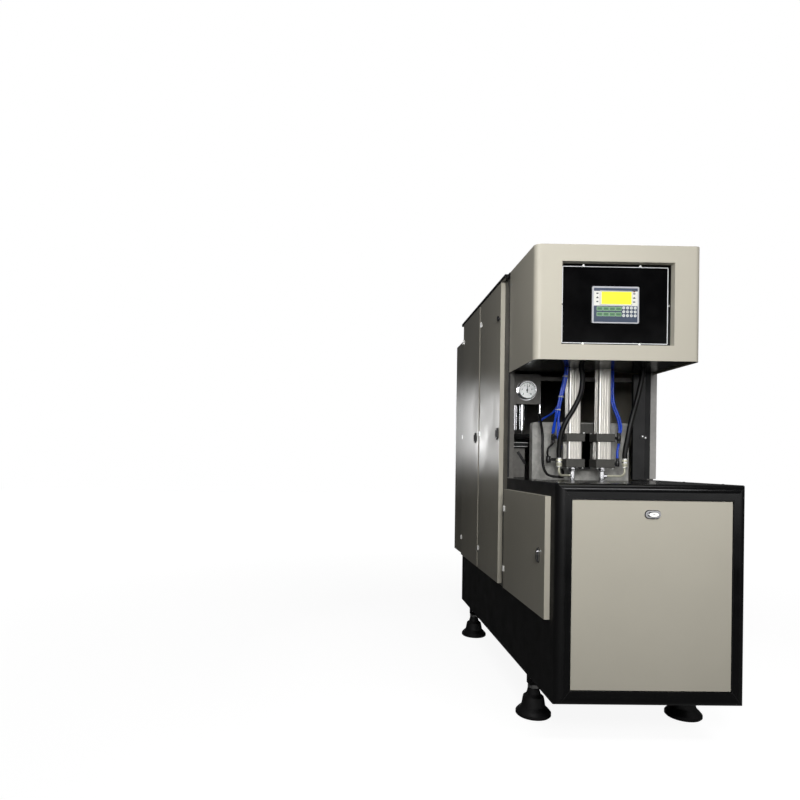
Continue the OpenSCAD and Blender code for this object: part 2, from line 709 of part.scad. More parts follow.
// Square flanges, top caps and collars of both heads, with the bracket that joins them
module cylinder_flanges() color([0.26, 0.26, 0.26]) place() {
    for (s = [-1, 1]) translate([s * pitch / 2, blow_y, 0]) {
        difference() {
            translate([0, 0, flange_z]) linear_extrude(flange_t) round_rect(flange_sq, flange_sq, 4);
            translate([0, 0, flange_z - 1]) cylinder(h = flange_t + 2, d = rod_d + 2 * slide_gap);
        }
        difference() {
            translate([0, 0, cap_z]) linear_extrude(cap_t) round_rect(flange_sq, flange_sq, 4);
            translate([0, 0, cap_z - 1]) cylinder(h = cap_t + 2, d = spindle_d + 2 * slide_gap);
        }
        translate([0, 0, stretch_z + stretch_len]) linear_extrude(25) round_rect(tube_sq, tube_sq, 6);
        difference() {
            translate([0, 0, floor_z + floor_t]) linear_extrude(22) square(tube_sq + 20, center = true);
            translate([0, 0, floor_z + floor_t - 1]) linear_extrude(24) square(tube_sq, center = true);
        }
    }
    span(-52, 52, blow_y + flange_sq / 2, blow_y + flange_sq / 2 + 14, cap_z, flange_z + flange_t + 46);
    for (z = [cap_z, flange_z]) span(-pitch / 2 - 20, pitch / 2 + 20, blow_y + flange_sq / 2,
        blow_y + flange_sq / 2 + 10, z + 6, z + 28);
}

module seal_bodies() color(alu) place() for (s = [-1, 1])
    translate([s * pitch / 2, blow_y, seal_z]) linear_extrude(seal_len) difference() {
        profile_tube(seal_sq);
        circle(d = seal_bore);
    }

// Hollow spindle with its piston and blow nozzle, with the side pipe and ferrule for the hose
module nozzle(s) translate([s * pitch / 2, blow_y, 0]) {
    difference() {
        union() {
            translate([0, 0, seal_piston_z]) cylinder(h = piston_t, d = seal_bore - 2 * slide_gap);
            translate([0, 0, nozzle_z + 30]) cylinder(h = seal_piston_z - nozzle_z - 29, d = spindle_d);
            translate([0, 0, cap_z - 18]) cylinder(h = 14, d = 27, $fn = 6);
            translate([0, 0, nozzle_z + 6]) cylinder(h = 36, d = nozzle_d);
            translate([0, 0, nozzle_z]) cylinder(h = 6.1, d1 = nozzle_d - 6, d2 = nozzle_d);
        }
        translate([0, 0, nozzle_z - 1]) cylinder(h = 300, d = spindle_bore);
    }
    rotate([0, 0, -s * pipe_turn]) {
        translate([s * nozzle_d * 0.48, 0, pipe_z]) rotate([0, s * 90, 0]) {
            cylinder(h = 12, d = 17, $fn = 6);
            cylinder(h = pipe_run - nozzle_d * 0.48 - pipe_bend, d = pipe_d);
        }
        translate([s * (pipe_run - pipe_bend), 0, pipe_z + pipe_bend]) rotate([90, 0, 0])
            rotate([0, 0, s > 0 ? -90 : 180]) rotate_extrude(angle = 90)
                translate([pipe_bend, 0]) circle(d = pipe_d);
        translate([s * pipe_run, 0, pipe_z + pipe_bend - eps]) {
            cylinder(h = ferrule_z - pipe_z - pipe_bend + 2, d = pipe_d);
            translate([0, 0, ferrule_z - pipe_z - pipe_bend]) {
                cylinder(h = 12, d = 24, $fn = 6);
                translate([0, 0, 12]) cylinder(h = 26, d = 23);
            }
        }
    }
}
module left_nozzle() color(chrome) place() nozzle(-1);
module right_nozzle() color(chrome) place() nozzle(1);

module stretch_rod(s) translate([s * pitch / 2, blow_y, 0]) {
    translate([0, 0, nozzle_z + 3]) cylinder(h = rod_top - nozzle_z - 3, d = rod_d);
    translate([0, 0, rod_top - 0.1]) cylinder(h = 20, d = stretch_bore - 2 * slide_gap);
}
module left_stretch_rod() color(chrome) place() stretch_rod(-1);
module right_stretch_rod() color(chrome) place() stretch_rod(1);

// Points of the two high-pressure hoses, from the ferrule up into the hood
hose_d = 21;
hose_foot = ferrule_z + 38 + seat_gap;
hose_top = floor_z + 40;
left_route = [[-hose_x, hose_y, hose_foot], [-hose_x - 1, hose_y - 1, 1040], [-136, 512, 1100],
    [-120, 504, 1155], [-92, 500, 1205], [-62, 498, 1270], [-52, 500, 1335], [-56, 504, 1385],
    [-58, 506, hose_top]];
right_route = [[hose_x, hose_y, hose_foot], [hose_x + 2, hose_y, 1040], [150, 520, 1085], [162, 522, 1150],
    [190, 524, 1255], [209, 526, 1335], [217, 528, 1385], [218, 529, hose_top]];

function ring(p, q, r, n) = let (d = q - p, u = d / norm(d), a = cross([0, 1, 0], u), b = a / norm(a),
    c = cross(u, b)) [for (i = [0 : n - 1]) p + r * (cos(i * 360 / n) * b + sin(i * 360 / n) * c)];
module sweep(pts, d, n = 12) {
    m = len(pts);
    rings = [for (i = [0 : m - 1]) each ring(pts[i], pts[i] + (i == 0 ? [0, 0, 1] : i == m - 1 ? [0, 0, 1]
        : pts[i + 1] - pts[i - 1]), d / 2, n)];
    faces = concat([[for (i = [0 : n - 1]) i]], [[for (i = [n - 1 : -1 : 0]) (m - 1) * n + i]],
        [for (k = [0 : m - 2], i = [0 : n - 1]) [k * n + (i + 1) % n, k * n + i, (k + 1) * n + i,
            (k + 1) * n + (i + 1) % n]]);
    polyhedron(rings, faces);
}
module left_air_hose() color(black) place() sweep(left_route, hose_d);
module right_air_hose() color(black) place() sweep(right_route, hose_d);

// Thin blue air tubes, each from the hood down to its push-in fitting
air_d = 8;
left_tube = [[-108, 528, 1415], [-114, 532, 1358], [-127, 538, 1286], [-142, 544, 1211], [-146, 550, 1165],
    [-148, 562, 1135], [-148, blow_y, 1118]];
right_tube = [[112, 600, 1415], [112, 600, 1350], [112, 600, 1290], [117, 596, 1240], [134, 584, 1185],
    [139, 574, 1140], [137, blow_y, 1118]];
low_tube = [[137, blow_y, 1078], [135, 574, 1060], [131, 574, 1035], [132, blow_y, 1014]];
module push_in(x0, x1, z) {
    rod_x(blow_y, z, min(x0, x1), max(x0, x1), 12);
    translate([x1, blow_y, z - 15]) cylinder(h = 30, d = 15);
}
module air_tubes() color([0.1, 0.25, 0.7]) place() {
    sweep([for (i = [6 : -1 : 0]) left_tube[i]], air_d, 8);
    sweep([for (i = [6 : -1 : 0]) right_tube[i]], air_d, 8);
    sweep([for (i = [3 : -1 : 0]) low_tube[i]], air_d, 8);
    push_in(-flange_sq / 2 - pitch / 2, -148, flange_z + flange_t / 2);
    push_in(flange_sq / 2 + pitch / 2, 137, flange_z + flange_t / 2);
    push_in(flange_sq / 2 + pitch / 2, 132, cap_z + cap_t / 2);
    for (p = [[-148, flange_z + flange_t / 2], [137, flange_z + flange_t / 2]])
        translate([p[0], blow_y, p[1] + 14]) cylinder(h = 14, d = 12);
    translate([137, blow_y, flange_z + flange_t / 2 - 22]) cylinder(h = 8, d = 12);
    translate([132, blow_y, cap_z + cap_t / 2 + 14]) cylinder(h = 16, d = 12);
}

module front_platen() color(grey) place() difference() {
    span(-platen_w / 2 + 20, platen_w / 2 - 20, front_platen_y, front_platen_y + platen_t, base_z + tube_w,
        mould_z + 30);
    for (s = [-1, 1]) rod_y(s * bar_x, bar_z, front_platen_y - 1, front_platen_y + platen_t + 1, bar_d);
}

module rear_platen() color(grey) place() difference() {
    span(-platen_w / 2, platen_w / 2, rear_platen_y, rear_platen_y + platen_t, shelf_z, platen_top);
    for (s = [-1, 1]) rod_y(s * bar_x, bar_z, rear_platen_y - 1, rear_platen_y + platen_t + 1, bar_d);
    for (s = [-1, 1])
        rod_y(s * guide_x, guide_z, rear_platen_y - 1, rear_platen_y + platen_t + 1, bar_d + 6);
    rod_y(0, clamp_z, rear_platen_y - 1, rear_platen_y + platen_t + 1, clamp_rod_d + 2 * slide_gap);
}

module tie_bars() color(chrome) place() for (s = [-1, 1]) {
    rod_y(s * bar_x, bar_z, front_platen_y - 30, rear_platen_y + platen_t + 30, bar_d);
    rod_y(s * bar_x, bar_z, front_platen_y - 24, front_platen_y, bar_d + 22);
    rod_y(s * bar_x, bar_z, rear_platen_y + platen_t, rear_platen_y + platen_t + 24, bar_d + 22);
}

module guide_plate() color(grey) place() difference() {
    span(-inner_x, inner_x, guide_y, guide_y + guide_t, guide_z - guide_plate_h / 2,
        guide_z + guide_plate_h / 2);
    for (s = [-1, 1])
        rod_y(s * guide_x, guide_z, guide_y - 1, guide_y + guide_t + 1, bar_d + 2 * slide_gap);
}

module moving_platen() color([0.62, 0.62, 0.60]) place() difference() {
    translate([0, platen_y + platen_t, 0]) rotate([90, 0, 0]) linear_extrude(platen_t) {
        translate([-platen_w / 2, platen_z]) square([platen_w, platen_top - platen_z - 12]);
        translate([-platen_w / 2 + 12, platen_top - 13]) square([platen_w - 24, 13]);
        for (s = [-1, 1]) translate([s * (platen_w / 2 - 12), platen_top - 12]) circle(12);
    }
    for (s = [-1, 1]) rod_y(s * bar_x, bar_z, platen_y - 1, platen_y + platen_t + 1, bar_d + 2 * slide_gap);
    for (s = [-1, 1]) rod_y(s * guide_x, guide_z, platen_y + 10, platen_y + platen_t + 1, bar_d);
    rod_y(0, clamp_z, platen_y + 10, platen_y + platen_t + 1, clamp_rod_d);
}

module guide_rods() color(chrome) place() for (s = [-1, 1])
    rod_y(s * guide_x, guide_z, platen_y + 10, rear_platen_y + platen_t + 100, bar_d);

// Outline of one bottle, revolved about its axis to cut the cavity
module bottle() translate([0, 0, bottle_z]) rotate_extrude() polygon([
    [0, 6], [bottle_d * 0.30, 0], [bottle_d * 0.46, 3], [bottle_d / 2, 10], [bottle_d / 2, 58],
    [bottle_d / 2 - 3, 64], [bottle_d / 2 - 3, 92], [bottle_d / 2, 98], [bottle_d / 2, mould_h - 100],
    [bottle_d * 0.44, mould_h - 78], [bottle_d * 0.30, mould_h - 52], [neck_d / 2, mould_h - 33],
    [neck_d / 2, mould_h], [0, mould_h]]);

module mould_half(y0) difference() {
    span(-mould_w / 2, mould_w / 2, y0, y0 + mould_t, mould_z - mould_h, mould_z);
    for (s = [-1, 1]) translate([s * pitch / 2, y0 < blow_y ? y0 + mould_t : y0, 0]) bottle();
    for (s = [-1, 1], z = [mould_z - 30, mould_z - mould_h + 25])
        rod_y(s * (mould_w / 2 - 18), z, y0 < blow_y ? y0 + mould_t - 25 : y0 - 1,
            y0 < blow_y ? y0 + mould_t + 1 : y0 + 25, 16.2);
    for (s = [-1, 1], z = [mould_z - 90, mould_z - 170])
        rod_x(y0 + mould_t / 2 + (y0 < blow_y ? -22 : 22), z, min(s * 60, s * (mould_w / 2 + 1)),
            max(s * 60, s * (mould_w / 2 + 1)), 10);
}
module front_mould() color(alu) place() mould_half(blow_y - mould_t);
module rear_mould() color(alu) place() mould_half(blow_y);

module clamp_cylinder() color(grey) place() difference() {
    y0 = rear_platen_y + platen_t;
    union() {
        rod_y(0, clamp_z, y0, y0 + cyl_end_t, clamp_bore + 50);
        rod_y(0, clamp_z, y0 + cyl_end_t - 1, y0 + cyl_len - cyl_end_t + 1, clamp_bore + 16);
        rod_y(0, clamp_z, y0 + cyl_len - cyl_end_t, y0 + cyl_len, clamp_bore + 50);
    }
    rod_y(0, clamp_z, y0 + cyl_end_t, y0 + cyl_len - cyl_end_t, clamp_bore);
    rod_y(0, clamp_z, y0 - 1, y0 + cyl_end_t + 1, clamp_rod_d + 2 * slide_gap);
}

module clamp_rod() color(chrome) place() {
    y = rear_platen_y + platen_t + 25;
    rod_y(0, clamp_z, platen_y + 10, y + eps, clamp_rod_d);
    rod_y(0, clamp_z, y, y + 35, clamp_bore - 2 * slide_gap);
}

module air_inlet() color([0.75, 0.62, 0.35]) place() difference() {
    union() {
        rod_y(inlet_x, inlet_z, body_len - 20, body_len + 30, inlet_body_d);
        rod_y(inlet_x, inlet_z, body_len, body_len + 6, inlet_body_d + 16);
    }
    rod_y(inlet_x, inlet_z, body_len - 21, body_len + 31, inlet_bore);
}

base_frame();
left_base_side();
right_base_side();
base_rear_panel();
table_top();
front_bezel();
front_panel();
front_latch();
foot_pads();
foot_studs();
body_frame();
body_roof();
rear_panel();
rear_cover();
hinge_pins();
left_low_door();
right_low_door();
left_door_a();
left_door_b();
right_door_a();
right_door_b();
left_low_latch();
right_low_latch();
left_latch_a();
left_latch_b();
right_latch_a();
right_latch_b();
hood_shell();
hood_floor();
control_plate();
panel_screws();
hmi_housing();
hmi_display();
gauge_plate();
gauge_body();
gauge_needle();
front_guard();
guard_latch();
air_filters();
stretch_tubes();
cylinder_flanges();
seal_bodies();
left_nozzle();
right_nozzle();
left_stretch_rod();
right_stretch_rod();
left_air_hose();
right_air_hose();
air_tubes();
front_platen();
rear_platen();
tie_bars();
guide_plate();
moving_platen();
guide_rods();
front_mould();
rear_mould();
clamp_cylinder();
clamp_rod();
air_inlet();
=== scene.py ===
import bpy, bmesh, math, json
from mathutils import Vector, Matrix


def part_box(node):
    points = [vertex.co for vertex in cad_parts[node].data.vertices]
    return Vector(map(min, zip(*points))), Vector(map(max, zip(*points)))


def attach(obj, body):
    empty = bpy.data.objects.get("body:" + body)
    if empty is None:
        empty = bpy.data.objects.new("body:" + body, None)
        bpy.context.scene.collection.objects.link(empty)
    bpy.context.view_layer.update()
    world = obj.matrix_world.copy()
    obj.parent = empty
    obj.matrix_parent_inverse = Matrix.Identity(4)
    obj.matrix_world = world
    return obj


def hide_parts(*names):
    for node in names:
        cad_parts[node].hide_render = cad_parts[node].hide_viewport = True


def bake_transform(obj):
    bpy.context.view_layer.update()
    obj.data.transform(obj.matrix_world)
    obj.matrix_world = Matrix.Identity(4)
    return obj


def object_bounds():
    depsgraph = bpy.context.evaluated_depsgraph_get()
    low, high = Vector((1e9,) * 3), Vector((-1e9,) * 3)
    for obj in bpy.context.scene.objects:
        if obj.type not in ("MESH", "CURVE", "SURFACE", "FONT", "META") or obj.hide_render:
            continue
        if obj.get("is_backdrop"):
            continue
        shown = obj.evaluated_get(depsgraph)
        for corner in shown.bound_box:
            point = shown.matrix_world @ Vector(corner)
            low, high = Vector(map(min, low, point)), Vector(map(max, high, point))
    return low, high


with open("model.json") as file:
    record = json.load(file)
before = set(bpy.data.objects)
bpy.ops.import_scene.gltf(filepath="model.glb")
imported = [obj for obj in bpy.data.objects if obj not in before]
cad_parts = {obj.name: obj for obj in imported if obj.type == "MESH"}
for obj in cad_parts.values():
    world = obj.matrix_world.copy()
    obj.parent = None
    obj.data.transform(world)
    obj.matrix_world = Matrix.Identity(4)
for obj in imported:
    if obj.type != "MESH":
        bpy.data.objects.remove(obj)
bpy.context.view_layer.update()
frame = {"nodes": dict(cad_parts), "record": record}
NODES = frame["nodes"]
scene = bpy.context.scene
X, Y, Z = Vector((1, 0, 0)), Vector((0, 1, 0)), Vector((0, 0, 1))


# ---------------------------------------------------------------- node trees
def put(tree, socket, value):
    """Link value to the socket if it is an output, else set it."""
    if isinstance(value, bpy.types.NodeSocket):
        tree.links.new(value, socket)
    else:
        socket.default_value = value


def add(tree, kind, values):
    """New node whose inputs, by name or number, are linked or set."""
    node = tree.nodes.new(kind)
    for key, value in values.items():
        put(tree, node.inputs[key], value)
    return node


def ramp(tree, value, stops):
    """Colour ramp through (position, colour) stops."""
    node = add(tree, "ShaderNodeValToRGB", {"Fac": value})
    elements = node.color_ramp.elements
    for i, (position, colour) in enumerate(stops):
        stop = elements[i] if i < 2 else elements.new(position)
        stop.position = position
        stop.color = colour
    return node.outputs["Color"]


def calc(tree, operation, *values):
    """Math node on outputs and numbers."""
    node = tree.nodes.new("ShaderNodeMath")
    node.operation = operation
    for socket, value in zip(node.inputs, values):
        put(tree, socket, value)
    return node.outputs[0]


def map_range(tree, value, source, target=(0.0, 1.0), smooth=False):
    """Map Range node from one (min, max) pair to another."""
    node = add(tree, "ShaderNodeMapRange", {"Value": value, "From Min": source[0], "From Max": source[1],
                                            "To Min": target[0], "To Max": target[1]})
    if smooth:
        node.interpolation_type = "SMOOTHSTEP"
    return node.outputs["Result"]


# ---------------------------------------------------------------- materials
MATS = {}
DIRT_SCALE, DIRT_FROM, DIRT_TO, DIRT_SHADE = 46, 0.60, 0.74, 0.55


def lin(r, g, b):
    """sRGB 0-255 to linear."""
    out = []
    for c in (r, g, b):
        c /= 255
        out.append(c / 12.92 if c <= 0.04045 else ((c + 0.055) / 1.055) ** 2.4)
    return (*out, 1)


def shade(colour, k):
    return tuple(min(1, c * k) for c in colour[:3]) + (1,)


def material(name, colour, rough=0.4, metal=0.0, spec=0.5, vary=0.06, scale=6.0, stretch=(1, 1, 1),
             rough_vary=0.08, rough_scale=14.0, bump=0.0, bump_scale=300.0, bump_dist=0.0006, cells=False,
             bevel=0.0, dirt=0.0, second=None, emission=0.0, side_polish=0.0):
    """Material with noise in its colour and roughness; dirt, bump and bevel where they are given."""
    m = bpy.data.materials.new(name)
    m.use_nodes = True
    tree = m.node_tree
    shader = tree.nodes["Principled BSDF"]
    coords = tree.nodes.new("ShaderNodeTexCoord")
    local = coords.outputs["Object"]
    stretched = add(tree, "ShaderNodeMapping", {"Vector": local, "Scale": stretch}).outputs["Vector"]

    def noise(vector, size, detail, roughness=0.5):
        return add(tree, "ShaderNodeTexNoise", {"Vector": vector, "Scale": size, "Detail": detail,
                                                "Roughness": roughness}).outputs["Fac"]

    base = lin(*colour)
    dark = lin(*second) if second else shade(base, 1 - vary)
    colour_out = ramp(tree, noise(stretched, scale, 5, 0.6),
                      ((0.32, dark), (0.68, shade(base, 1 + vary * 0.5))))
    if dirt:
        spots = ramp(tree, noise(local, DIRT_SCALE, 7),
                     ((DIRT_FROM, (0, 0, 0, 1)), (DIRT_TO, (dirt, dirt, dirt, 1))))
        mix = tree.nodes.new("ShaderNodeMix")
        mix.data_type = "RGBA"
        for key, value in (("Factor", spots), ("A", colour_out), ("B", shade(base, DIRT_SHADE))):
            put(tree, mix.inputs[key], value)
        colour_out = mix.outputs["Result"]
    rough_out = map_range(tree, noise(stretched, rough_scale, 4), (0.3, 0.7),
                          (max(0.02, rough - rough_vary), min(1, rough + rough_vary)))
    if side_polish:
        # faces that look along X are smoother by side_polish, or rougher where it is negative
        normal_x = add(tree, "ShaderNodeSeparateXYZ", {0: coords.outputs["Normal"]}).outputs["X"]
        rough_out = calc(tree, "MULTIPLY_ADD", calc(tree, "ABSOLUTE", normal_x), -side_polish, rough_out)
    normal = None
    if bevel:
        rounding = add(tree, "ShaderNodeBevel", {"Radius": bevel})
        rounding.samples = 4
        normal = rounding.outputs["Normal"]
    if bump:
        if cells:
            voronoi = add(tree, "ShaderNodeTexVoronoi", {"Vector": local, "Scale": bump_scale})
            height = voronoi.outputs["Distance"]
        else:
            height = noise(local, bump_scale, 3)
        relief = add(tree, "ShaderNodeBump", {"Strength": bump, "Distance": bump_dist, "Height": height})
        if normal:
            put(tree, relief.inputs["Normal"], normal)
        normal = relief.outputs["Normal"]
    values = {"Base Color": colour_out, "Roughness": rough_out, "Metallic": metal, "Specular IOR Level": spec}
    if normal:
        values["Normal"] = normal
    if emission:
        values.update({"Emission Color": colour_out, "Emission Strength": emission})
    for key, value in values.items():
        put(tree, shader.inputs[key], value)
    MATS[name] = m


material("frame_black", (10, 10, 11), rough=0.20, spec=0.32, vary=0.20, scale=9, bump=0.15, bump_scale=420,
         bump_dist=0.0004, bevel=0.0012, rough_vary=0.05, side_polish=-0.40)
material("post_grey", (100, 98, 94), rough=0.42, spec=0.4, vary=0.16, scale=60, bump=0.8, bump_scale=190,
         cells=True, bevel=0.0012)
# lighter copy of post_grey: painted light for the lit face of the right post
material("post_grey_painted_lit", (176, 174, 171), rough=0.42, spec=0.4, vary=0.10, scale=60, bump=0.8, bump_scale=190,
         cells=True, bevel=0.0006)
material("panel_beige", (205, 200, 185), rough=0.38, spec=0.25, vary=0.035, scale=2.4, rough_vary=0.06,
         rough_scale=5, bump=0.12, bump_scale=160, bump_dist=0.0003, bevel=0.0015, side_polish=0.22)
material("chrome", (212, 212, 214), rough=0.13, metal=1.0, vary=0.05, scale=30, rough_vary=0.05,
         rough_scale=60, bevel=0.0005)
material("latch_black", (38, 37, 38), rough=0.33, vary=0.2, scale=80, bevel=0.0005)
material("cylinder_alu", (216, 213, 206), rough=0.32, metal=0.75, vary=0.10, scale=60, stretch=(5, 5, 0.02),
         rough_vary=0.05, rough_scale=40)
material("flange_grey", (78, 77, 73), rough=0.55, spec=0.4, vary=0.12, scale=70, bump=0.3, bump_scale=500,
         bump_dist=0.0003, bevel=0.0008)
material("machined_steel", (182, 181, 176), rough=0.48, metal=0.12, vary=0.30, scale=34, rough_vary=0.14,
         rough_scale=40, bump=0.9, bump_scale=85, bump_dist=0.0009, bevel=0.001, dirt=0.5)
material("zinc_steel", (176, 176, 174), rough=0.34, metal=0.9, vary=0.12, scale=50, rough_vary=0.1)
# light zinc that glows a little: its emission is painted light on the hinge leaves
material("zinc_painted_glow", (232, 232, 230), rough=0.30, metal=0.5, vary=0.08, scale=60, emission=0.25)
material("foot_rubber", (23, 22, 23), rough=0.55, spec=0.35, vary=0.25, scale=30, bump=0.4, bump_scale=240,
         bump_dist=0.0008, bevel=0.002)
material("plate_black", (4, 4, 5), rough=0.14, spec=0.22, vary=0.2, scale=5, rough_vary=0.04)
material("hmi_silver", (203, 204, 209), rough=0.32, spec=0.45, vary=0.03, scale=40, bevel=0.0006)
material("lcd_yellow", (253, 247, 58), vary=0.02, scale=12, second=(240, 236, 44), emission=0.55)
material("hose_black", (11, 11, 11), rough=0.46, spec=0.28, vary=0.3, scale=90, bump=0.5, bump_scale=700,
         bump_dist=0.0003)
material("tube_blue", (26, 78, 214), rough=0.26, vary=0.15, scale=26)
material("mould_alu", (186, 187, 188), rough=0.28, metal=0.95, vary=0.08, scale=18, stretch=(1, 1, 7),
         bevel=0.0006)
material("brass", (206, 186, 132), rough=0.30, metal=0.85, vary=0.10, scale=60)
material("fitting_black", (20, 20, 22), rough=0.35, vary=0.2, scale=120)
# white dial that glows: painted light on the dial, which lamps don't reach behind the gauge's glass
material("dial_painted_lit", (240, 241, 240), rough=0.45, vary=0.02, scale=30, emission=0.35)
# white metal that glows: painted glints on the screw caps, the front lock's cover and the guard catch's pins
material("painted_glint_white", (236, 236, 234), rough=0.3, metal=0.4, vary=0.04, scale=60, emission=0.8)
material("mark_black", (22, 22, 24), rough=0.5, vary=0.1, scale=60)
# printed white line that glows: painted light that keeps it bright where the hood shades the plate
material("line_white_painted_lit", (222, 224, 226), rough=0.5, vary=0.04, scale=60, emission=0.35)
material("slate", (66, 78, 98), rough=0.38, vary=0.12, scale=22)
material("key_green", (96, 146, 100), rough=0.45, vary=0.10, scale=60)
material("key_rim", (176, 206, 176), rough=0.45, vary=0.05, scale=60)
material("label_white", (240, 240, 232), rough=0.45, vary=0.03, scale=40)
material("key_white", (226, 229, 226), rough=0.45, vary=0.04, scale=60)
material("mark_red", (150, 70, 52), rough=0.5, vary=0.1, scale=60)
material("seam_dark", (12, 12, 13), rough=0.7, vary=0.2, scale=60)
material("fitting_pale", (216, 214, 192), rough=0.34, metal=0.35, vary=0.10, scale=60)
material("tie_white", (206, 210, 216), rough=0.5, vary=0.05, scale=60)

glass = bpy.data.materials.new("gauge_glass")
glass.use_nodes = True
tree = glass.node_tree
glass_noise = add(tree, "ShaderNodeTexNoise", {"Scale": 25}).outputs["Fac"]
tint = ramp(tree, glass_noise, ((0.0, (0.93, 0.95, 0.95, 1)), (1.0, (0.99, 0.99, 0.99, 1))))
for key, value in (("Roughness", 0.03), ("Transmission Weight", 1.0), ("IOR", 1.12), ("Base Color", tint)):
    put(tree, tree.nodes["Principled BSDF"].inputs[key], value)
MATS["gauge_glass"] = glass

for row in frame["record"]["subparts"]:
    o = NODES[row["node"]]
    o.data.materials.clear()
    o.data.materials.append(MATS[row["material_slot"]])


# ---------------------------------------------------------------- mesh tools
SHARP_ANGLE = math.radians(40)


class Soup:
    """Collects prisms, lathed shapes and tubes into one mesh."""

    def __init__(self):
        self.v, self.f = [], []

    def add(self, verts, faces):
        k = len(self.v)
        self.v += [tuple(p) for p in verts]
        self.f += [[i + k for i in f] for f in faces]
        return self

    def skin(self, verts, seg, count, closed=False):
        """Skin over count rings of seg points, capped at both ends or closed on itself."""
        faces = []
        for k in range(count if closed else count - 1):
            for i in range(seg):
                j, nxt = (i + 1) % seg, (k + 1) % count
                faces.append([k * seg + i, k * seg + j, nxt * seg + j, nxt * seg + i])
        if not closed:
            faces += [list(range(seg))[::-1], list(range((count - 1) * seg, count * seg))]
        return self.add(verts, faces)

    def prism(self, pts, origin, u, v, w, a, b):
        """2-D outline in the plane of u and v, swept along w from a to b."""
        o, n = Vector(origin), len(pts)
        verts = [o + u * p[0] + v * p[1] + w * h for h in (a, b) for p in pts]
        faces = [list(range(n))[::-1], [n + i for i in range(n)]]
        faces += [[i, (i + 1) % n, n + (i + 1) % n, n + i] for i in range(n)]
        return self.add(verts, faces)

    def front(self, pts, origin, a, b):
        """Outline in X and Z, raised towards the front from a to b."""
        return self.prism(pts, origin, X, Z, -Y, a, b)

    def box(self, x0, x1, y0, y1, z0, z1, c=0.0):
        """Block; c is the chamfer of its four edges along Y."""
        pts = [(x0, z0), (x1, z0), (x1, z1), (x0, z1)]
        if c:
            pts = [(x0 + c, z0), (x1 - c, z0), (x1, z0 + c), (x1, z1 - c),
                   (x1 - c, z1), (x0 + c, z1), (x0, z1 - c), (x0, z0 + c)]
        return self.prism(pts, (0, 0, 0), X, Z, Y, y0, y1)

    def lathe(self, profile, origin, axis, seg, turn=0.0, ring=False):
        """Profile of (radius, height) pairs turned about axis; a ring is closed on itself, not capped."""
        o, w = Vector(origin), Vector(axis).normalized()
        u = w.orthogonal().normalized()
        v = w.cross(u)
        verts = []
        for r, h in profile:
            for i in range(seg):
                t = turn + 2 * math.pi * i / seg
                verts.append(o + w * h + (u * math.cos(t) + v * math.sin(t)) * r)
        return self.skin(verts, seg, len(profile), ring)

    def button(self, origin, axis, r, h, top_r, top_h, seg=16):
        """Screw head or stud: a drum of radius r and height h that narrows to top_r at top_h."""
        return self.lathe([(r, 0), (r, h), (top_r, top_h)], origin, axis, seg)

    def tube(self, path, r, seg):
        verts, n, side = [], len(path), None
        path = [Vector(p) for p in path]
        for k, p in enumerate(path):
            d = (path[min(k + 1, n - 1)] - path[max(k - 1, 0)]).normalized()
            if side is None:
                side = d.orthogonal().normalized()
            side = (side - d * side.dot(d)).normalized()
            v = d.cross(side)
            for i in range(seg):
                t = 2 * math.pi * i / seg
                verts.append(p + (side * math.cos(t) + v * math.sin(t)) * r)
        return self.skin(verts, seg, n)

    def make(self, name, mat, body, slot=None):
        me = bpy.data.meshes.new(name)
        me.from_pydata(self.v, [], self.f)
        me.validate()
        me.update()
        bm = bmesh.new()
        bm.from_mesh(me)
        bmesh.ops.recalc_face_normals(bm, faces=bm.faces)
        bm.to_mesh(me)
        bm.free()
        me.polygons.foreach_set("use_smooth", [True] * len(me.polygons))
        me.set_sharp_from_angle(angle=SHARP_ANGLE)
        me.materials.append(MATS[mat])
        o = bpy.data.objects.new(name, me)
        scene.collection.objects.link(o)
        if body:
            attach(o, body)
        return o


def smooth_path(pts, step=0.006):
    """Catmull-Rom curve through the points, with points about step apart."""
    p = [Vector(a) for a in pts]
    p = [p[0] * 2 - p[1]] + p + [p[-1] * 2 - p[-2]]
    out = []
    for i in range(1, len(p) - 2):
        a, b, c, d = p[i - 1:i + 3]
        n = max(2, int((c - b).length / step))
        for k in range(n):
            t = k / n
            out.append(0.5 * ((2 * b) + (c - a) * t + (2 * a - 5 * b + 4 * c - d) * t ** 2
                              + (3 * b - a - 3 * c + d) * t ** 3))
    out.append(p[-2])
    return out


def rect(w, h):
    return [(-w / 2, -h / 2), (w / 2, -h / 2), (w / 2, h / 2), (-w / 2, h / 2)]


def round_rect(w, h, r, n=6):
    pts = []
    for sx, sz, start in ((1, 1, 0), (-1, 1, 90), (-1, -1, 180), (1, -1, 270)):
        for i in range(n + 1):
            t = math.radians(start + 90 * i / n)
            pts.append((sx * (w / 2 - r) + r * math.cos(t), sz * (h / 2 - r) + r * math.sin(t)))
    return pts


def oval(a, b, n=40):
    return [(a * math.cos(2 * math.pi * i / n), b * math.sin(2 * math.pi * i / n)) for i in range(n)]


def border(w, h, t, over=0.0):
    """Middle and size of four strips, t wide and over longer, along the edges of a w x h rectangle."""
    return ((0, h / 2, w + over, t), (0, -h / 2, w + over, t),
            (w / 2, 0, t, h + over), (-w / 2, 0, t, h + over))


def stroke(soup, pts, origin, width, a, b):
    """Flat line through 2-D points in X and Z, raised towards the front from a to b."""
    for p, q in zip(pts, pts[1:]):
        d = Vector((q[0] - p[0], q[1] - p[1])).normalized() * width / 2
        n = Vector((-d.y, d.x))
        p0, q0 = Vector(p) - d, Vector(q) + d
        soup.front([tuple(p0 + n), tuple(p0 - n), tuple(q0 - n), tuple(q0 + n)], origin, a, b)


def mm(v):
    return v / 1000


def box_of(node):
    lo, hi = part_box(node)
    return lo, hi, (lo + hi) / 2


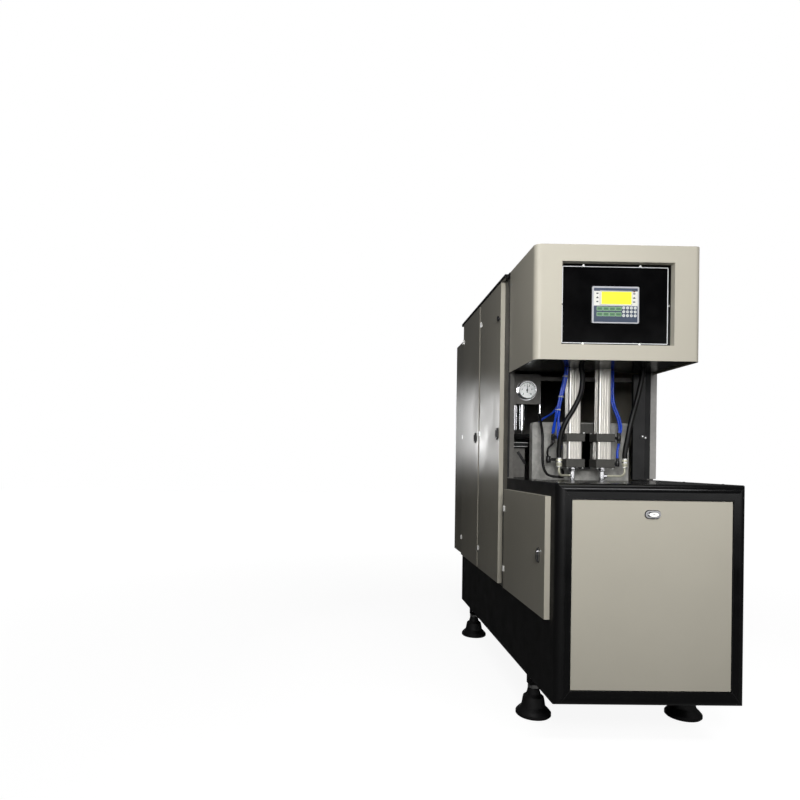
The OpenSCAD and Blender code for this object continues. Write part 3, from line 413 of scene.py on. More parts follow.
# ---------------------------------------------------------------- control unit
SINK = 0.0002                  # depth to which flat marks reach into the face that carries them
RIM = 0.006                    # silver edge left free round the unit's printed fields
SPLIT = 0.003                  # height of the line between label and keys over the unit's middle
KEY_TOP = -SPLIT - 0.0125      # height of the upper row of green keys
GREEN_IN, GREEN_STEP, ROW_STEP = 0.0290, 0.0246, 0.0215   # first green key from the left edge, steps
ROUND_IN, ROUND_STEP, ROUND_UP = 0.0600, 0.0150, 0.004    # first round key from the right edge, steps
LCD_GAP, LCD_EDGE = 0.001, 0.002
TITLE_H = 0.012
unit_lo, unit_hi, unit_c = box_of("hmi_housing")
lcd_lo, lcd_hi, lcd_c = box_of("hmi_display")
UNIT_W, UNIT_H = unit_hi.x - unit_lo.x, unit_hi.z - unit_lo.z
LCD_V = lcd_c.z - unit_c.z


def on_unit(soup, pts, u, v, depth=0.0004, y=unit_lo.y):
    """Flat raised shape on the control unit's face; u and v are metres from its middle."""
    return soup.front(pts, (unit_c.x + u, y, unit_c.z + v), -SINK, depth)


s = Soup()
on_unit(s, round_rect(UNIT_W - 2 * RIM, TITLE_H, 0.0015), 0, UNIT_H / 2 - TITLE_H)
on_unit(s, round_rect(UNIT_W - 2 * RIM, UNIT_H / 2 - RIM - SPLIT, 0.002), 0,
        -(UNIT_H / 2 - RIM + SPLIT) / 2 - 0.0015)
s.make("panel_membrane", "slate", "frame", "hmi_silver")
# white label in four strips round the display
s = Soup()
u_lo, u_hi = lcd_lo.x - unit_c.x - LCD_GAP, lcd_hi.x - unit_c.x + LCD_GAP
v_lo, v_hi = lcd_lo.z - unit_c.z - LCD_GAP, lcd_hi.z - unit_c.z + LCD_GAP
top, bottom, wide = UNIT_H / 2 - 0.0185, -SPLIT + 0.0005, UNIT_W / 2 - RIM
for u0, u1, v0, v1 in ((-wide, wide, v_hi, top), (-wide, wide, bottom, v_lo), (-wide, u_lo, v_lo, v_hi),
                       (u_hi, wide, v_lo, v_hi)):
    if v1 - v0 > 0.0004:
        on_unit(s, [(u0, v0), (u1, v0), (u1, v1), (u0, v1)], 0, 0, 0.0003)
s.make("panel_label", "label_white", "frame", "hmi_silver")
# two rows of four green keys, each a rim, a key and its mark
for name, mat, w, h, depth in (("green_key_rims", "key_rim", 0.0232, 0.0152, 0.0008),
                               ("green_keys", "key_green", 0.0205, 0.0122, 0.0012),
                               ("green_key_marks", "slate", 0.0125, 0.0020, 0.0014)):
    s = Soup()
    for i in range(4):
        for j in range(2):
            on_unit(s, round_rect(w, h, h * 0.12), -UNIT_W / 2 + GREEN_IN + i * GREEN_STEP,
                    KEY_TOP - j * ROW_STEP, depth)
    s.make(name, mat, "frame", "hmi_silver")
# three rows of four round keys
s, marks = Soup(), Soup()
for i in range(4):
    for j in range(3):
        u, v = UNIT_W / 2 - ROUND_IN + i * ROUND_STEP, KEY_TOP + ROUND_UP - j * ROUND_STEP
        s.button((unit_c.x + u, unit_lo.y, unit_c.z + v), -Y, 0.0058, 0.0009, 0.0050, 0.0014, 20)
        on_unit(marks, round_rect(0.0044, 0.0011, 0.0004, 2), u, v, 0.0017)
s.make("round_keys", "key_white", "frame", "hmi_silver")
marks.make("round_key_marks", "mark_black", "frame")
# three icons at each side of the display
ICON_U = UNIT_W / 2 - 0.0195
s = Soup()
for u in (-ICON_U, ICON_U):
    on_unit(s, round_rect(0.0085, 0.0045, 0.001), u, LCD_V + 0.017)
    on_unit(s, [(-0.006, -0.003), (0.006, -0.003), (0, 0.004)], u, LCD_V + 0.001)
    on_unit(s, round_rect(0.0085, 0.0045, 0.001), u, LCD_V - 0.015)
s.make("panel_icons", "mark_black", "frame")
s = Soup()
on_unit(s, round_rect(0.007, 0.005, 0.0012), ICON_U, LCD_V + 0.025)
on_unit(s, round_rect(0.005, 0.004, 0.0012), lcd_hi.x - unit_c.x - 0.010, LCD_V - 0.015, 0.0003, lcd_lo.y)
s.make("panel_red_marks", "mark_red", "frame")
s = Soup()
for u, v, w, h in border(lcd_hi.x - lcd_lo.x + 0.006, lcd_hi.z - lcd_lo.z + 0.006, LCD_EDGE, LCD_EDGE):
    on_unit(s, round_rect(w, h, 0.0006, 2), u, LCD_V + v, 0.0012)
s.make("lcd_frame", "hmi_silver", "frame", "hmi_silver")

# thin printed line round the black plate, brightened by its own glow as painted light, and the plate's screws
LINE_W = 0.0026
LINE_IN_W, LINE_IN_H = 0.028, 0.026                       # by how much the line's frame is smaller
SCREWS_LEFT, SCREWS_RIGHT, SCREWS_IN = 0.287, 0.218, 0.010   # across in parts of the width, from the edge
plate_lo, plate_hi, plate_c = box_of("control_plate")
PLATE_W, PLATE_H = plate_hi.x - plate_lo.x, plate_hi.z - plate_lo.z
s = Soup()
for u, v, w, h in border(PLATE_W - LINE_IN_W, PLATE_H - LINE_IN_H, LINE_W):
    s.front(round_rect(w, h, LINE_W / 2 - 1e-5, 2), (plate_c.x + u, plate_lo.y, plate_c.z + v), -SINK, 0.0003)
s.make("plate_border", "line_white_painted_lit", "frame", "plate_black")
# the caps over the plate's screws glow: painted glints on the screw heads
s, caps = Soup(), Soup()
screw_y = box_of("panel_screws")[0].y
for x in (plate_c.x - PLATE_W * SCREWS_LEFT, plate_c.x + PLATE_W * SCREWS_RIGHT):
    for z in (plate_lo.z + SCREWS_IN, plate_hi.z - SCREWS_IN):
        s.front(rect(0.0068, 0.0012), (x, screw_y, z), 0.0005, 0.0015)
        caps.lathe([(0.0042, 0), (0.0038, 0.0008), (0.0020, 0.0013)], (x, screw_y + 0.0002, z), -Y, 24)
s.make("screw_slots", "seam_dark", "frame")
caps.make("screw_glint_caps", "painted_glint_white", "frame", "chrome")


# ---------------------------------------------------------------- gauge
gauge_lo, gauge_hi, gauge_c = box_of("gauge_body")
GAUGE_R = (gauge_hi.x - gauge_lo.x) / 2 * 0.89
DIAL_Y, GLASS_Y, LUG_Y = (gauge_lo.y + d for d in (0.0105, 0.0028, 0.0148))
MARKS_AT = (gauge_c.x, DIAL_Y - 0.0008, gauge_c.z)
MARK_H = 0.0003
TICKS, FIRST_DEG, SWEEP_DEG = 40, 225, 270
TICK_LONG, TICK_SHORT, TICK_OUT, NUMBERS_R = 0.70, 0.76, 0.82, 0.55   # radii in parts of GAUGE_R
LUG_R, LUG_DEGS = 1.085, (60, 180, 300)
NUMBERS = ("0", "2", "4", "6", "8", "10")
LONG_EVERY = 8                 # every eighth tick is long and has a number
DIGIT_STEP, DIGIT_SIZE, DIGIT_LINE = 0.0045, 0.0032, 0.0014
DIGITS = {"0": [[(0, 0), (1, 0), (1, 2), (0, 2), (0, 0)]],
          "1": [[(0.5, 0), (0.5, 2), (0.1, 1.5)]],
          "2": [[(0, 2), (1, 2), (1, 1.1), (0, 0), (1, 0)]],
          "4": [[(0.8, 0), (0.8, 2), (0, 0.7), (1.1, 0.7)]],
          "6": [[(1, 2), (0, 1), (0, 0), (1, 0), (1, 1), (0, 1)]],
          "8": [[(0, 0), (1, 0), (1, 2), (0, 2), (0, 0)], [(0, 1), (1, 1)]]}


def on_gauge(soup, profile, y, ring=False):
    """Lathed shape on the gauge's axis; radii are parts of GAUGE_R, heights go forward from y."""
    return soup.lathe([(GAUGE_R * r, h) for r, h in profile], (gauge_c.x, y, gauge_c.z), -Y, 64, ring=ring)


on_gauge(Soup(), [(0.90, 0), (0.90, 0.0008)], DIAL_Y).make("gauge_dial", "dial_painted_lit", "frame", "chrome")
s = Soup()
for i in range(TICKS + 1):
    t = math.radians(FIRST_DEG - i * SWEEP_DEG / TICKS)
    cos, sin = GAUGE_R * math.cos(t), GAUGE_R * math.sin(t)
    major = i % LONG_EVERY == 0
    stroke(s, [(r * cos, r * sin) for r in (TICK_LONG if major else TICK_SHORT, TICK_OUT)], MARKS_AT,
           0.0016 if major else 0.0009, 0, MARK_H)
    if major:
        number = NUMBERS[i // LONG_EVERY]
        for k, ch in enumerate(number):
            cx = NUMBERS_R * cos + (k - (len(number) - 1) / 2) * DIGIT_STEP - DIGIT_SIZE / 2
            cy = NUMBERS_R * sin - DIGIT_SIZE
            for path in DIGITS[ch]:
                stroke(s, [(cx + a * DIGIT_SIZE, cy + b * DIGIT_SIZE) for a, b in path], MARKS_AT,
                       DIGIT_LINE, 0, MARK_H)
on_gauge(s, [(0.835, MARK_H), (0.86, MARK_H), (0.86, 0), (0.835, 0)], MARKS_AT[1], True)
s.make("gauge_marks", "mark_black", "frame")
on_gauge(Soup(), [(0.93, 0), (0.93, 0.0015)], GLASS_Y).make("gauge_glass", "gauge_glass", "frame")
s = Soup()
on_gauge(s, [(0.92, 0), (1.00, -0.0002), (1.015, 0.0014), (0.985, 0.0032), (0.93, 0.0030), (0.915, 0.0008)],
         gauge_lo.y, True)
s.make("gauge_bezel", "chrome", "frame", "chrome")
s = Soup()
for degs in LUG_DEGS:
    t, r = math.radians(degs), GAUGE_R * LUG_R
    s.button((gauge_c.x + r * math.cos(t), LUG_Y, gauge_c.z + r * math.sin(t)), -Y,
             0.0028, 0.0012, 0.0016, 0.0020)
s.make("gauge_screws", "zinc_steel", "frame", "zinc_steel")


# ---------------------------------------------------------------- hoses
HOSE_R = mm(10.4)
HOSE_SIDES = 12                # points in each ring of the hose that the CAD sweeps


def hose(side):
    """Smooth hose through the middles of the rings of the CAD's hose; gives those middles."""
    node = side + "_air_hose"
    lo, hi, c = box_of(node)
    corners = []
    for p in sorted((v.co.copy() for v in NODES[node].data.vertices), key=lambda p: p.z):
        if not any((p - q).length < 1e-5 for q in corners):
            corners.append(p)
    mids = []
    for i in range(len(corners) // HOSE_SIDES):
        ring = corners[i * HOSE_SIDES:(i + 1) * HOSE_SIDES]
        mids.append(sum(ring, Vector()) / len(ring))
    mids[0].z, mids[-1].z = lo.z, hi.z
    o = Soup().tube(smooth_path(mids), HOSE_R, 20).make(side + "_hose", "hose_black", None, "hose_black")
    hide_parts(node)
    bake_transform(o)
    return mids


# side, sign of x and hose of each of the two cavities
CAVITIES = [("left", -1, hose("left")), ("right", 1, hose("right"))]

# steel ferrule skirts with crimp rings over each hose end
for side, sx, mids in CAVITIES:
    s = Soup()
    s.lathe([(0.0118, -0.036), (0.0118, -0.030), (0.0124, -0.029), (0.0124, -0.020), (0.0112, -0.019),
             (0.0112, -0.014), (0.0126, -0.013), (0.0126, -0.006), (0.0114, -0.004), (0.0114, 0.0)],
            mids[0], Z, 28)
    s.make(side + "_ferrule", "fitting_pale", side + "_nozzle", "brass")


# ---------------------------------------------------------------- blow heads
tubes_lo, _, tubes_c = box_of("stretch_tubes")
seals_lo, seals_hi, _ = box_of("seal_bodies")
flanges_lo, flanges_hi, _ = box_of("cylinder_flanges")
BLOW_Y = tubes_c.y
PITCH = 0.064                  # from the machine's middle to each cylinder's axis
FLANGE = (flanges_hi.x - flanges_lo.x) / 2 - PITCH        # half a flange's width
CAP_LO, CAP_HI = flanges_lo.z, seals_lo.z                 # lower flange
FLANGE_LO, FLANGE_HI = seals_hi.z, tubes_lo.z             # upper flange
CAP_MID, FLANGE_MID = (CAP_LO + CAP_HI) / 2, (FLANGE_LO + FLANGE_HI) / 2
TUBE_R, SPREAD = 0.0043, 0.0078                           # of the bundle's tubes
TWIST, WAIST = 0.45, 0.3                                  # turns of the bundle, and how far it narrows
TIES = (0.28, 0.62, 0.84)                                 # along the bundle


def route(*points):
    """Path from points with x and z in metres and y in mm behind the cylinders' axes."""
    return [(x, BLOW_Y + mm(y), z) for x, y, z in points]


def air_line(name, pts, r, mat):
    Soup().tube(smooth_path(pts), r, 14).make(name, mat, "frame", mat)


# four tubes twist down from the hood; two end at the upper flange, two run on to the lower one
bundle = route((-0.104, -40, 1.425), (-0.110, -36, 1.358), (-0.122, -30, 1.288), (-0.136, -24, 1.212),
               (-0.140, -20, 1.165))
tails = [route((-0.146, -10, 1.135), (-0.148, 0, 1.108)),
         route((-0.152, -12, 1.140), (-0.151, -2, 1.112)),
         route((-0.137, -24, 1.126), (-0.133, -24, 1.070), (-0.130, -10, 1.030), (-0.128, 0, 1.004)),
         route((-0.129, -28, 1.128), (-0.124, -30, 1.072), (-0.122, -18, 1.034), (-0.126, -4, 1.006))]
core = smooth_path(bundle, 0.005)
s = Soup()
for k, tail in enumerate(tails):
    pts = []
    for i in range(0, len(core) - 4, 3):
        f = i / len(core)
        a = 2 * math.pi * (k / 4 + TWIST * f)
        pts.append(core[i] + Vector((math.cos(a), math.sin(a), 0)) * SPREAD
                   * (1 - WAIST * math.sin(math.pi * f)))
    s.tube(smooth_path(pts + tail), TUBE_R, 12)
tubes = s.make("left_tube_bundle", "tube_blue", "frame", "tube_blue")
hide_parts("air_tubes")
# a branch that leaves the bundle for the clamp
air_line("branch_tube", route((-0.134, -22, 1.236), (-0.146, 0, 1.206), (-0.160, 34, 1.190),
                              (-0.174, 62, 1.178), (-0.180, 110, 1.160)), TUBE_R, "tube_blue")
# ties round the bundle, each with its lock and tail
s = Soup()
for f in TIES:
    i = int(f * (len(core) - 1))
    p = core[i]
    s.lathe([(0.0112, -0.0022), (0.0124, -0.0018), (0.0124, 0.0018), (0.0112, 0.0022)],
            p, core[i + 1] - p, 18)
    s.box(p.x - 0.003, p.x + 0.003, p.y - 0.016, p.y - 0.010, p.z - 0.003, p.z + 0.003)
    s.box(p.x + 0.001, p.x + 0.0024, p.y - 0.026, p.y - 0.015, p.z - 0.0006, p.z + 0.0006)
s.make("tube_ties", "tie_white", "frame", "tube_blue")
for k, dx in enumerate((0.0, 0.0095)):
    air_line("right_tube_upper_%d" % (k + 1),
             route((0.112 + dx, 28, 1.425), (0.112 + dx, 28, 1.350), (0.112 + dx, 28, 1.290),
                   (0.118 + dx, 24, 1.240), (0.134 + dx, 12, 1.185), (0.139 + dx, 2, 1.140),
                   (0.137 + dx * 0.5, 0, 1.112)), TUBE_R, "tube_blue")
air_line("right_tube_lower", route((0.137, 0, 1.080), (0.136, 2, 1.060), (0.132, 2, 1.035),
                                   (0.132, 0, 1.004)), 0.0052, "tube_blue")


def elbow(s, x_from, x_to, z, down=False, knob=False):
    """Black push-in elbow or valve from a flange's side to its outlet at x_to."""
    reach = x_to - x_from
    c = (x_to, BLOW_Y, z)
    s.lathe([(0.0075, 0), (0.0075, 0.004), (0.0062, 0.005), (0.0062, abs(reach) - 0.004)],
            (x_from, BLOW_Y, z), X * math.copysign(1, reach), 20)
    s.lathe([(0.0070, -0.0125), (0.0082, -0.011), (0.0086, 0), (0.0082, 0.011), (0.0070, 0.0125)], c, Z, 22)
    for axis in (Z, -Z) if down else (Z,):
        s.lathe([(0.0064, 0.011), (0.0064, 0.019), (0.0078, 0.0195), (0.0078, 0.0225), (0.0056, 0.0235)],
                c, axis, 22)
    if knob:
        s.lathe([(0.0050, 0), (0.0050, 0.008), (0.0085, 0.009), (0.0085, 0.022), (0.0075, 0.0235)], c, -Y, 18)


s = Soup()
elbow(s, -PITCH - FLANGE, -0.148, FLANGE_MID, down=True, knob=True)
elbow(s, PITCH + FLANGE, 0.137, FLANGE_MID, down=True)
elbow(s, PITCH + FLANGE, 0.132, CAP_MID)
elbow(s, -PITCH - FLANGE, -0.128, CAP_MID)
# separate coupling at the end of the second black line
coupling = route((-0.166, 4, 1.000))[0]
s.lathe([(0.009, -0.014), (0.0105, -0.012), (0.0105, 0.012), (0.009, 0.014)], coupling, Z, 18)
s.lathe([(0.006, 0.0), (0.006, 0.030)], coupling, (1, -0.1, 0), 16)
s.make("push_in_fittings", "fitting_black", "frame", "hose_black")
# thin black lines at the left
air_line("black_line_1", route((-0.193, 60, 1.200), (-0.194, 20, 1.150), (-0.196, -6, 1.100),
                               (-0.197, -12, 1.040), (-0.194, -12, 0.975), (-0.178, -14, 0.938),
                               (-0.150, -16, 0.927), (-0.118, -16, 0.9255), (-0.098, 8, 0.930),
                               (-0.094, 44, 0.960)), 0.0056, "hose_black")
air_line("black_line_2", route((-0.148, 0, 1.070), (-0.156, -3, 1.062), (-0.170, -3, 1.045),
                               (-0.172, 0, 1.025), (-0.166, 4, 1.010)), 0.0044, "hose_black")

# pale pipes from the hoses' ferrules to the nozzles
BEND, PIPE_TOP, PIPE_LOW, PIPE_END = 0.020, 0.0605, 0.024, 0.0235   # radius, heights, gap to the axis
PIPE_STEPS = 8
for side, sx, mids in CAVITIES:
    tip = box_of(side + "_nozzle")[0].z
    low = tip + PIPE_LOW
    foot, nozzle = Vector((mids[0].x, mids[0].y, 0)), Vector((sx * PITCH, BLOW_Y, 0))
    to = (nozzle - foot).normalized()
    pts = [foot + Z * (tip + PIPE_TOP), foot + Z * (low + BEND)]
    for i in range(1, PIPE_STEPS + 1):
        t = math.pi / 2 * i / PIPE_STEPS
        pts.append(foot + to * BEND * (1 - math.cos(t)) + Z * (low + BEND * (1 - math.sin(t))))
    pts.append(nozzle - to * PIPE_END + Z * low)
    Soup().tube(pts, 0.0048, 14).make(side + "_nozzle_pipe", "fitting_pale", side + "_nozzle", "chrome")

# socket screws under the lower flanges and on the upper ones
CAP_SCREW, FLANGE_SCREW = 0.0325, 0.0352                  # from the cylinder's axis, across and back
s, sockets = Soup(), Soup()
for sx in (-1, 1):
    for ax in (-1, 1):
        for ay in (-1, 1):
            x, y = sx * PITCH + ax * CAP_SCREW, BLOW_Y + ay * CAP_SCREW
            s.button((x, y, CAP_LO), -Z, 0.0045, 0.0045, 0.0040, 0.0050)
            sockets.lathe([(0.0022, 0.0001), (0.0022, 0.0003)], (x, y, CAP_LO - 0.0050), -Z, 6)
            s.button((sx * PITCH + ax * FLANGE_SCREW, BLOW_Y + ay * FLANGE_SCREW, FLANGE_HI), Z,
                     0.0045, 0.0045, 0.0040, 0.0050)
s.make("flange_screws", "zinc_steel", "frame", "zinc_steel")
sockets.make("flange_screw_sockets", "seam_dark", "frame")
# dark lines along the flanges' upper and lower edges
EDGE, PROUD = 0.0015, 0.0003
s = Soup()
for sx in (-1, 1):
    for z in (CAP_LO, CAP_HI - EDGE, FLANGE_LO, FLANGE_HI - EDGE):
        for sy in (1, -1):
            h = FLANGE + PROUD
            s.box(sx * PITCH - h, sx * PITCH + h, BLOW_Y + sy * FLANGE - SINK, BLOW_Y + sy * h, z, z + EDGE)
s.make("flange_edges", "seam_dark", "frame", "flange_grey")

# union nut and locking ring on each nozzle
for side, sx, mids in CAVITIES:
    tip = Vector((sx * PITCH, BLOW_Y, box_of(side + "_nozzle")[0].z))
    s = Soup()
    s.lathe([(0.0150, 0.042), (0.0158, 0.043), (0.0158, 0.0500), (0.0150, 0.051), (0.0128, 0.0515),
             (0.0128, 0.0560)], tip, Z, 6, 0.3)
    s.lathe([(0.0122, 0.012), (0.0128, 0.0125), (0.0128, 0.0150), (0.0122, 0.0155)], tip, Z, 40)
    s.make(side + "_nozzle_ring", "chrome", side + "_nozzle", "chrome")


# ---------------------------------------------------------------- cabinet front
bezel_lo, bezel_hi, _ = box_of("front_bezel")
panel_lo, panel_hi, _ = box_of("front_panel")
FRONT = bezel_lo.y


def behind_front(y):
    """Y of a place y mm behind the cabinet's front."""
    return FRONT + mm(y)


# mitre lines from the frame's outer corners to the opening's corners
CORNER = 0.014
s = Soup()
for sx in (-1, 1):
    for z_out, z_in in ((bezel_hi.z, panel_hi.z + 0.003), (bezel_lo.z, panel_lo.z - 0.003)):
        x_out = sx * (bezel_hi.x - CORNER) * 0.985
        z_start = z_out + (CORNER if z_out < z_in else -CORNER)
        stroke(s, [(x_out, z_start), (sx * 0.276, z_in)], (0, FRONT, 0), 0.0012, -0.001, 0.00035)
s.make("bezel_mitres", "seam_dark", "frame", "frame_black")
# rolled inner edge of the front frame
s = Soup()
in_x, in_lo, in_hi = 0.2762, panel_lo.z - 0.0032, panel_hi.z + 0.0032
corners = [(-in_x, in_hi), (in_x, in_hi), (in_x, in_lo), (-in_x, in_lo)]
for a, b in zip(corners, corners[1:] + corners[:1]):
    s.tube([(x, FRONT + 0.0012, z) for x, z in (a, b)], 0.0016, 10)
s.make("bezel_inner_edge", "frame_black", "frame", "frame_black")
# front lock: gasket, pins, and an oval keyhole cover with its dark rim; the cover's material glows, a painted
# glint
lock_lo, _, lock_c = box_of("front_latch")
LOCK = Vector((lock_c.x, lock_lo.y, lock_c.z))
s = Soup().front(round_rect(0.056, 0.030, 0.0149, 10), (lock_c.x, panel_lo.y + 0.0002, lock_c.z),
                 -SINK, 0.0008)
s.make("front_lock_gasket", "seam_dark", "front_panel", "latch_black")
s = Soup()
for dx in (-0.017, 0.017):
    s.button(LOCK + Vector((dx, 0.0051, 0)), -Y, 0.0022, 0.0010, 0.0014, 0.0015, 14)
s.make("front_lock_pins", "zinc_steel", "front_latch", "chrome")
s = Soup().front(oval(0.0180, 0.0086), LOCK, 0, 0.0003)
s.make("front_lock_rim", "seam_dark", "front_latch", "chrome")
s = Soup()
for a, b, y0, y1 in ((0.0165, 0.0073, 0.0002, 0.0010), (0.0145, 0.0060, 0.0009, 0.0016),
                     (0.0110, 0.0042, 0.0015, 0.0020)):
    s.front(oval(a, b), LOCK, y0, y1)
s.make("front_lock_cover", "painted_glint_white", "front_latch", "chrome")
s = Soup().front(rect(0.009, 0.0024), LOCK - Y * 0.0020, -0.001, 0.0001)
s.make("front_lock_slot", "seam_dark", "front_latch")


# ---------------------------------------------------------------- doors
DOORS = ("left_low_door", "right_low_door", "left_door_a", "left_door_b", "right_door_a", "right_door_b")
HINGE_X = 0.337                # of the hinge pins, from the machine's middle
LEAF_X = (0.3448, 0.3488)      # of the hinge leaves
KNOB_IN, KNOB_Z = 0.014, 1.640


def door_facts(node):
    """A door's box, its side (-1 is left), the x of its skin and the y of its skin's back edge."""
    lo, hi, c = box_of(node)
    side = -1 if c.x < 0 else 1
    skin = lo.x if side < 0 else hi.x
    back = max(v.co.y for v in NODES[node].data.vertices if abs(v.co.x - skin) < 0.0005)
    return lo, hi, side, skin, back


def hinges(node):
    """Y of a door's hinge pins and the (bottom, top) heights of its knuckles."""
    pin_y = box_of(node)[1].y - 0.006
    zs = sorted({round(v.co.z, 4) for v in NODES[node].data.vertices if v.co.y > pin_y + 0.003})
    return pin_y, list(zip(zs[::2], zs[1::2]))


# side latches: seat gaskets and keyhole slots
for door in DOORS:
    latch = door.replace("door", "latch")
    lo, hi, c = box_of(latch)
    _, _, side, skin, _ = door_facts(door)
    s = Soup().prism(round_rect(0.029, 0.056, 0.0144, 10), (skin - side * 0.0002, c.y, c.z),
                     Y, Z, X * side, -SINK, 0.0008)
    s.make(latch + "_gasket", "seam_dark", door, "latch_black")
    s = Soup().prism(rect(0.0024, 0.009), (lo.x if side < 0 else hi.x, c.y, c.z),
                     Y, Z, X * side, -0.001, 0.0001)
    s.make(latch + "_slot", "seam_dark", latch)

# door knobs near the top of the first tall doors
for name in ("left", "right"):
    lo, _, side, skin, _ = door_facts(name + "_door_a")
    s = Soup()
    s.lathe([(0.0065, 0), (0.0065, 0.0006), (0.0045, 0.0012), (0.0040, 0.0040), (0.0105, 0.0060),
             (0.0128, 0.0085), (0.0128, 0.0105), (0.0100, 0.0122), (0.0060, 0.0128)],
            (skin, lo.y + KNOB_IN, KNOB_Z), X * side, 28)
    s.make(name + "_door_knob", "latch_black", name + "_door_a", "latch_black")

# a thin dark gasket inside each door's return edges
GASKET_IN, GASKET_OUT = 0.003, 0.012                      # from the door's edge
for door in DOORS:
    lo, hi, side, _, back = door_facts(door)
    inner = hi.x if side < 0 else lo.x
    x0, x1 = sorted((inner + side * 0.0006, inner + side * 0.006))
    y0, y1 = lo.y + GASKET_IN, back - GASKET_IN
    s = Soup()
    for v0, v1 in ((lo.z + GASKET_IN, lo.z + GASKET_OUT), (hi.z - GASKET_OUT, hi.z - GASKET_IN)):
        s.box(x0, x1, y0, y1, v0, v1)
    for u0, u1 in ((y0, lo.y + GASKET_OUT), (back - GASKET_OUT, y1)):
        s.box(x0, x1, u0, u1, lo.z + GASKET_OUT, hi.z - GASKET_OUT)
    s.make(door + "_seal", "hose_black", door, "hose_black")

# hinge caps
for door in DOORS:
    _, _, side, _, _ = door_facts(door)
    pin_y, knuckles = hinges(door)
    s = Soup()
    for z0, z1 in knuckles:
        s.lathe([(0.0059, 0), (0.0056, 0.0012), (0.0040, 0.0026), (0.0016, 0.0032)],
                (side * HINGE_X, pin_y, z1 - 0.00005), Z, 20)
    s.make(door + "_hinge_caps", "zinc_steel", door, "zinc_steel")


# ---------------------------------------------------------------- body, clamp and back
TABLE_Z, HOOD_Z, ROOF_Z = 0.920, 1.440, 1.800             # where strips on the posts begin and end
POST_Y = (behind_front(644.4), behind_front(645.2))
# left guard: a lighter face behind the strut, and two thin rods along the rail over it
guard_x = box_of("front_guard")[0].x + 0.001
s = Soup().box(guard_x, -0.2338, behind_front(694.3), behind_front(694.95), 0.918, 1.0485)
s.make("guard_face", "post_grey", "frame", "frame_black")
s = Soup()
for z in (1.0565, 1.0735):
    s.tube([(x, behind_front(680), z) for x in (guard_x, -0.226)], 0.0032, 12)
s.make("guard_rods", "zinc_steel", "frame", "frame_black")
# black seals down the posts, beside the guard and the left doors
s = Soup()
s.box(0.2862, 0.3088, *POST_Y, TABLE_Z, HOOD_Z)
s.box(-0.3247, -0.3165, *POST_Y, TABLE_Z, ROOF_Z)
s.make("post_seals", "seam_dark", "frame", "frame_black")
# strip on the right post in a lighter copy of the post's grey: painted light where the post is lit
s = Soup().box(0.3090, 0.3365, behind_front(644.0), POST_Y[1], TABLE_Z, HOOD_Z)
s.make("right_post_cap", "post_grey_painted_lit", "frame", "post_grey")
# pins on the guard's catch, whose glowing material paints their glints
catch_lo, _, catch_c = box_of("guard_latch")
s = Soup()
for dx, dz in ((-0.006, 0.003), (0.007, -0.003)):
    s.button((catch_c.x + dx, catch_lo.y + 0.0002, catch_c.z + dz), -Y, 0.0030, 0.0012, 0.0018, 0.0022)
s.make("guard_latch_pins", "painted_glint_white", "guard_latch", "chrome")
# drip edge of the roof over the tall doors
DRIP_X, DRIP_Z = 0.3458, (1.8032, 1.8185)
roof_lo, roof_hi, roof_c = box_of("body_roof")
s = Soup()
for sx in (-1, 1):
    x0, x1 = sorted((sx * (roof_hi.x - 0.0005), sx * DRIP_X))
    s.box(x0, x1, roof_lo.y, roof_hi.y, *DRIP_Z)
s.make("roof_drip_edge", "frame_black", "frame", "frame_black")
# black web between the two cylinders, behind their flanges: partly a bracket, partly painted shade where the
# gap between them is dark
s = Soup().box(-0.016, 0.030, BLOW_Y + FLANGE, BLOW_Y + FLANGE + 0.004, CAP_LO - 0.006, FLANGE_HI + 0.004)
s.make("flange_web_shade", "seam_dark", "frame", "flange_grey")

# hinge leaves on the doors' back edges, brightened by painted light: their zinc glows
for door in DOORS:
    _, _, side, _, back = door_facts(door)
    x0, x1 = sorted(side * x for x in LEAF_X)
    s = Soup()
    for z0, z1 in hinges(door)[1]:
        s.box(x0, x1, back - 0.010, back - 0.0005, z0 + 0.002, z1 - 0.002, 0.0012)
    s.make(door + "_hinge_leaves", "zinc_painted_glow", door, "zinc_steel")

# hexagon bolts with washers on the rear platen
BOLT_R, BOLT_H, WASHER_H = 0.010, 0.008, 0.0012
BOLTS_X, BOLTS_Z = (-0.12, 0.12), (0.60, 0.84)
platen_y = box_of("rear_platen")[1].y
s = Soup()
for x in BOLTS_X:
    for z in BOLTS_Z:
        s.lathe([(BOLT_R * 1.35, 0), (BOLT_R * 1.35, WASHER_H)], (x, platen_y, z), Y, 22)
        s.lathe([(BOLT_R, 0), (BOLT_R, BOLT_H * 0.85), (BOLT_R * 0.88, BOLT_H)],
                (x, platen_y + WASHER_H, z), Y, 6, 0.4)
s.make("rear_platen_bolts", "zinc_steel", "frame", "zinc_steel")

